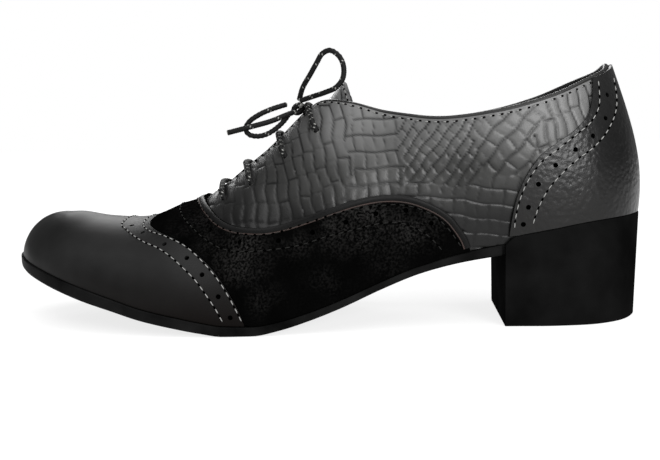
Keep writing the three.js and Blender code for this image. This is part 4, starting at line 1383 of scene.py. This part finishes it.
class OXFORD_OT_sole(bpy.types.Operator):
    """Build the outsole, the heel with its cup, and the insole"""

    bl_idname = "oxford.sole"
    bl_label = "Sole and heel"

    def execute(self, context):
        breast = station_at(FRONT + BREAST_AT)
        rim = station_at(FRONT + BREAST_AT + RIM_RUN)

        def sole_edge(s):
            if s >= breast - 0.04:
                return 0
            waist = float(smoothstep(s, 11, 13))
            return (1 - waist) * (SOLE_LEDGE + GAP + OVERLAY) + waist * WAIST_LEDGE

        outsole = plate("outsole", 0, LAST, sole_edge, (
            (1.4, sole_bottom, 0), (0.5, sole_bottom, 0.2), (0.1, sole_bottom, 0.7),
            (0, sole_bottom, 1.2), (0, sole_top, -0.35), (0.35, sole_top, 0)),
            extra=(breast - 0.08, breast - 0.04))
        smooth(outsole, 35)
        finish_piece(outsole, material_of(sole_rubber), "sole", "outsole")
        insole = plate("insole", 0, LAST, lambda s: -(WALL + 2 * GAP), (
            (0, sole_top, GAP), (0.1, sole_top, GAP + INSOLE_THICKNESS - 0.5),
            (0.6, sole_top, GAP + INSOLE_THICKNESS)), extra=(breast - 0.08, breast - 0.04))
        smooth(insole, 35)
        finish_piece(insole, material_of(sock_leather), "lining", "insole")

        def floor(_):
            return 0

        heel = plate("heel", breast, LAST, lambda s: GAP + RIM_THICKNESS, (
            (HEEL_TAPER + 0.5, floor, 0), (HEEL_TAPER, floor, 0.5), (0, rim_top, -0.4),
            (0.4, rim_top, 0)), step=1.5, extra=(rim,))
        cup = plate("cup", breast - 1, LAST, lambda s: GAP, (
            (0, sole_bottom, -GAP), (0, sole_top, 0), (-RIM_LEAN, sole_top, RIM_HEIGHT + GAP),
            (-RIM_LEAN, sole_top, COLLAR_HEIGHT)), step=1.5, extra=(breast, rim))
        cut(heel, cup, "DIFFERENCE")
        smooth(heel, 30)
        finish_piece(heel, material_of(heel_leather), "heel", "heel")
        return {"FINISHED"}


# The quarter starts at this row of the upper's lines, under the vamp, and its grid is as fine
# on the longest line as its setting says. Its lower edge ends at x and z under the counter.
QUARTER_START = 4.6
LONGEST_LINE = 84
UNDER_COUNTER = (84, 50)
SKIN = 0.9
PLAIN_RIM = 1.7
LACE_HOLE = EYELET_DIAMETER / 2 * 0.8
THROUGH = 6
COLLAR_SEAM_DROP = 1.35
COLLAR_SEAM_END = 17.1


class OXFORD_OT_quarter(bpy.types.Operator):
    """Build the embossed quarter, its lining and its folded edge"""

    bl_idname = "oxford.quarter"
    bl_label = "Quarter and lining"

    def execute(self, context):
        step = sizes().grid / MM
        rows = int(LONGEST_LINE / step)
        quarter = upper_sheet("quarter", QUARTER_START, LAST, step, rows, 0.0)
        emboss(quarter, PLAIN_RIM)
        modify(quarter, "SOLIDIFY", thickness=SKIN * MM, offset=-1, use_even_offset=False)
        under = 3.0
        edge = edge_line(VAMP_EDGE)
        lowest = [(x, z - under) for x, z in edge if z > sole_top(x) + GAP]
        back = edge_line(COUNTER_EDGE)[0][0] + under
        outline = [(edge[0][0] - under, TOP), (edge[0][0] - under, lowest[0][1]), *lowest,
                   (edge[-1][0], sole_top(edge[-1][0]) + GAP),
                   *lower_edge(sole_top, edge[-1][0] + 1, UNDER_COUNTER[0]),
                   (back, UNDER_COUNTER[1]), (back, TOP)]
        cut(quarter, side_block(outline[::-1]), "INTERSECT")
        places = eyelet_places()
        tree = tree_of(quarter)
        holes = [upper_point(s, side, t) for s, t in places for side in (-1, 1)]
        cut(quarter, punches(tree, holes, LACE_HOLE, THROUGH), "DIFFERENCE")
        smooth(quarter, 50)
        finish_piece(quarter, material_of(embossed_calf), "quarter", "upper")
        lining = upper_sheet("lining", 0, LAST, 2.2, 40, -SKIN - 0.05)
        modify(lining, "SOLIDIFY", thickness=(WALL - SKIN - 0.05) * MM, offset=-1,
               use_even_offset=False)
        cut(lining, punches(tree_of(lining), holes, LACE_HOLE, THROUGH), "DIFFERENCE")
        smooth(lining, 40)
        finish_piece(lining, material_of(lining_leather), "lining", "upper")
        self.folded_edge()
        for side, name in ((-1, "outer"), (1, "inner")):
            rim = [upper_point(s, side, down_from_top(s, side, COLLAR_SEAM_DROP))
                   for s in stations(THROAT + 0.25, COLLAR_SEAM_END, 2.5)]
            line = nearest(tree_of(quarter), curve_through(rim, 0.5))
            double_row(f"collar_stitches_{name}", line, "quarter")
        return {"FINISHED"}

    def folded_edge(self):
        """Roll along both facings and round the collar."""
        there = stations(THROAT + 0.04, LAST, 2.0)
        route = [upper_point(s, -1, 1, -WALL / 2) for s in there]
        route += [upper_point(s, 1, 1, -WALL / 2) for s in there[-2::-1]]
        roll = tube("folded_edge", curve_through(route, 1.0), WALL / 2 + 0.1, 12)
        smooth(roll, 60)
        finish_piece(roll, material_of(folded_calf), "quarter", "upper")


class OXFORD_OT_tongue(bpy.types.Operator):
    """Build the embossed tongue with its edge stitches"""

    bl_idname = "oxford.tongue"
    bl_label = "Tongue"

    def section(self, row, edge, middle, side, fullness, across):
        depth = -(WALL + TONGUE_CLEARANCE)
        rise = math.radians(TONGUE_RISE)
        free = np.array((math.cos(rise), 0, math.sin(rise))) * TONGUE_REACH
        edges = [upper_point(row, k, edge, depth) + free * side for k in (-1, 1)]
        under = min(row, TONGUE_LEAVES)
        top = [upper_point(under, k, 1, depth) for k in (-1, 1)]
        crown = (top[0] + top[1]) / 2 + free * middle
        base = (edges[0] + edges[1]) / 2
        half = (edges[1] - edges[0]) / 2
        fall = np.abs(across) ** fullness
        return base + half * across[:, None] + (crown - base) * (1 - fall)[:, None]

    def execute(self, context):
        across = np.linspace(-1, 1, 61)
        table = evenly(np.array([(k * 4, *row) for k, row in enumerate(TONGUE)], float), 0.4)
        grid = np.array([self.section(*row[1:], across) for row in table])
        tongue = sheet("tongue", grid)
        count = len(tongue.data.polygons)
        ups = np.empty(count * 3)
        tongue.data.polygons.foreach_get("normal", ups)
        if ups[2::3].sum() < 0:
            edit(tongue, (bpy.ops.mesh.flip_normals, {}))
        emboss(tongue)
        modify(tongue, "SOLIDIFY", thickness=TONGUE_THICKNESS * 0.9 * MM, offset=-1,
               use_even_offset=False)
        smooth(tongue, 50)
        finish_piece(tongue, material_of(embossed_calf), "tongue", "tongue")
        tree = tree_of(tongue)
        inner = np.concatenate([grid[-14:-4, 3], grid[-5, 3:-3], grid[-14:-4, -4][::-1]])
        double_row("tongue_stitches", nearest(tree, curve_through(inner[::3], 0.5)), "tongue")
        return {"FINISHED"}


class OXFORD_OT_panels(bpy.types.Operator):
    """Cut, punch and stitch the toe cap, the vamp and the counter"""

    bl_idname = "oxford.panels"
    bl_label = "Toe cap, vamp and counter"

    def execute(self, context):
        cap = panel("toe_cap", 0, THROAT + 1.2, cap_outline(), CAP_HOLES)
        finish_piece(cap, material_of(box_calf), "toe_cap", "toe_cap")
        tree = tree_of(cap)
        double_row("cap_rear_stitches", over_top(tree, CAP_REAR_SEAM, -69.5, 0.5), "toe_cap")
        double_row("cap_front_stitches", over_top(tree, CAP_FRONT_SEAM, -79.2, 0.5), "toe_cap")

        vamp = panel("vamp", 3, 14.5, vamp_outline(), VAMP_HOLES)
        finish_piece(vamp, material_of(hair_calf), "vamp", "vamp")
        tree = tree_of(vamp)
        double_row("vamp_rear_stitches", over_top(tree, VAMP_REAR_SEAM, -50, 0.5), "vamp", "smoke")
        double_row("vamp_front_stitches", over_top(tree, VAMP_FRONT_SEAM, -56.5, 0.5), "vamp",
                   "smoke")
        self.binding(tree)

        counter = panel("counter", 13, LAST, counter_outline(), COUNTER_HOLES)
        finish_piece(counter, material_of(pebbled_calf), "counter", "counter")
        tree = tree_of(counter)
        for side, name in ((-1, "outer"), (1, "inner")):
            for seam, row in ((COUNTER_FRONT_SEAM, "front"), (COUNTER_REAR_SEAM, "rear")):
                line = down_side(tree, seam, side, 0.5)
                double_row(f"counter_{row}_stitches_{name}", line, "counter")
        return {"FINISHED"}

    def binding(self, tree):
        """Folded binding along the rear edge of the vamp, with the raw edge under it."""
        edge = [(x, z) for x, z in edge_line(VAMP_EDGE, 0, 3.0) if z > sole_top(x) + 1.5]
        inset = [(x - 0.5, z - 0.9) for x, z in edge]
        points, normals = over_top(tree, inset, -48.2, 1.0)
        band = tube("vamp_binding", points, 1.15, 10, normals, 0.42)
        smooth(band, 60)
        finish_piece(band, material_of(edge_leather), "vamp", "vamp")
        across = np.cross(directions(points), normals)
        below = across * np.sign(-across[:, 2:3] + 1e-9)
        points, normals = nearest(tree, points + below * 1.35)
        line = tube("vamp_raw_edge", points, 0.28, 6, normals, 0.8)
        smooth(line, 60)
        finish_piece(line, material_of(brown_edge), "vamp", "vamp")


class OXFORD_PT_panel(bpy.types.Panel):
    """Settings and steps of the oxford"""

    bl_label = "Laced oxford"
    bl_space_type = "VIEW_3D"
    bl_region_type = "UI"
    bl_category = "Oxford"

    def draw(self, context):
        for group in (context.scene.oxford_sizes, context.scene.oxford_colours):
            for key in group.bl_rna.properties.keys():
                if key not in ("rna_type", "name"):
                    self.layout.prop(group, key)
        for step in STEPS:
            self.layout.operator(step.bl_idname)


STEPS = (OXFORD_OT_stage, OXFORD_OT_laces, OXFORD_OT_sole, OXFORD_OT_quarter, OXFORD_OT_tongue,
         OXFORD_OT_panels)
CLASSES = (OxfordSizes, OxfordColours, *STEPS, OXFORD_PT_panel)


def register():
    for kind in CLASSES:
        bpy.utils.register_class(kind)
    bpy.types.Scene.oxford_sizes = bpy.props.PointerProperty(type=OxfordSizes)
    bpy.types.Scene.oxford_colours = bpy.props.PointerProperty(type=OxfordColours)


def unregister():
    del bpy.types.Scene.oxford_colours
    del bpy.types.Scene.oxford_sizes
    for kind in reversed(CLASSES):
        bpy.utils.unregister_class(kind)


def main():
    register()
    for step in STEPS:
        family, name = step.bl_idname.split(".")
        getattr(getattr(bpy.ops, family), name)()


if __name__ == "__main__":
    main()
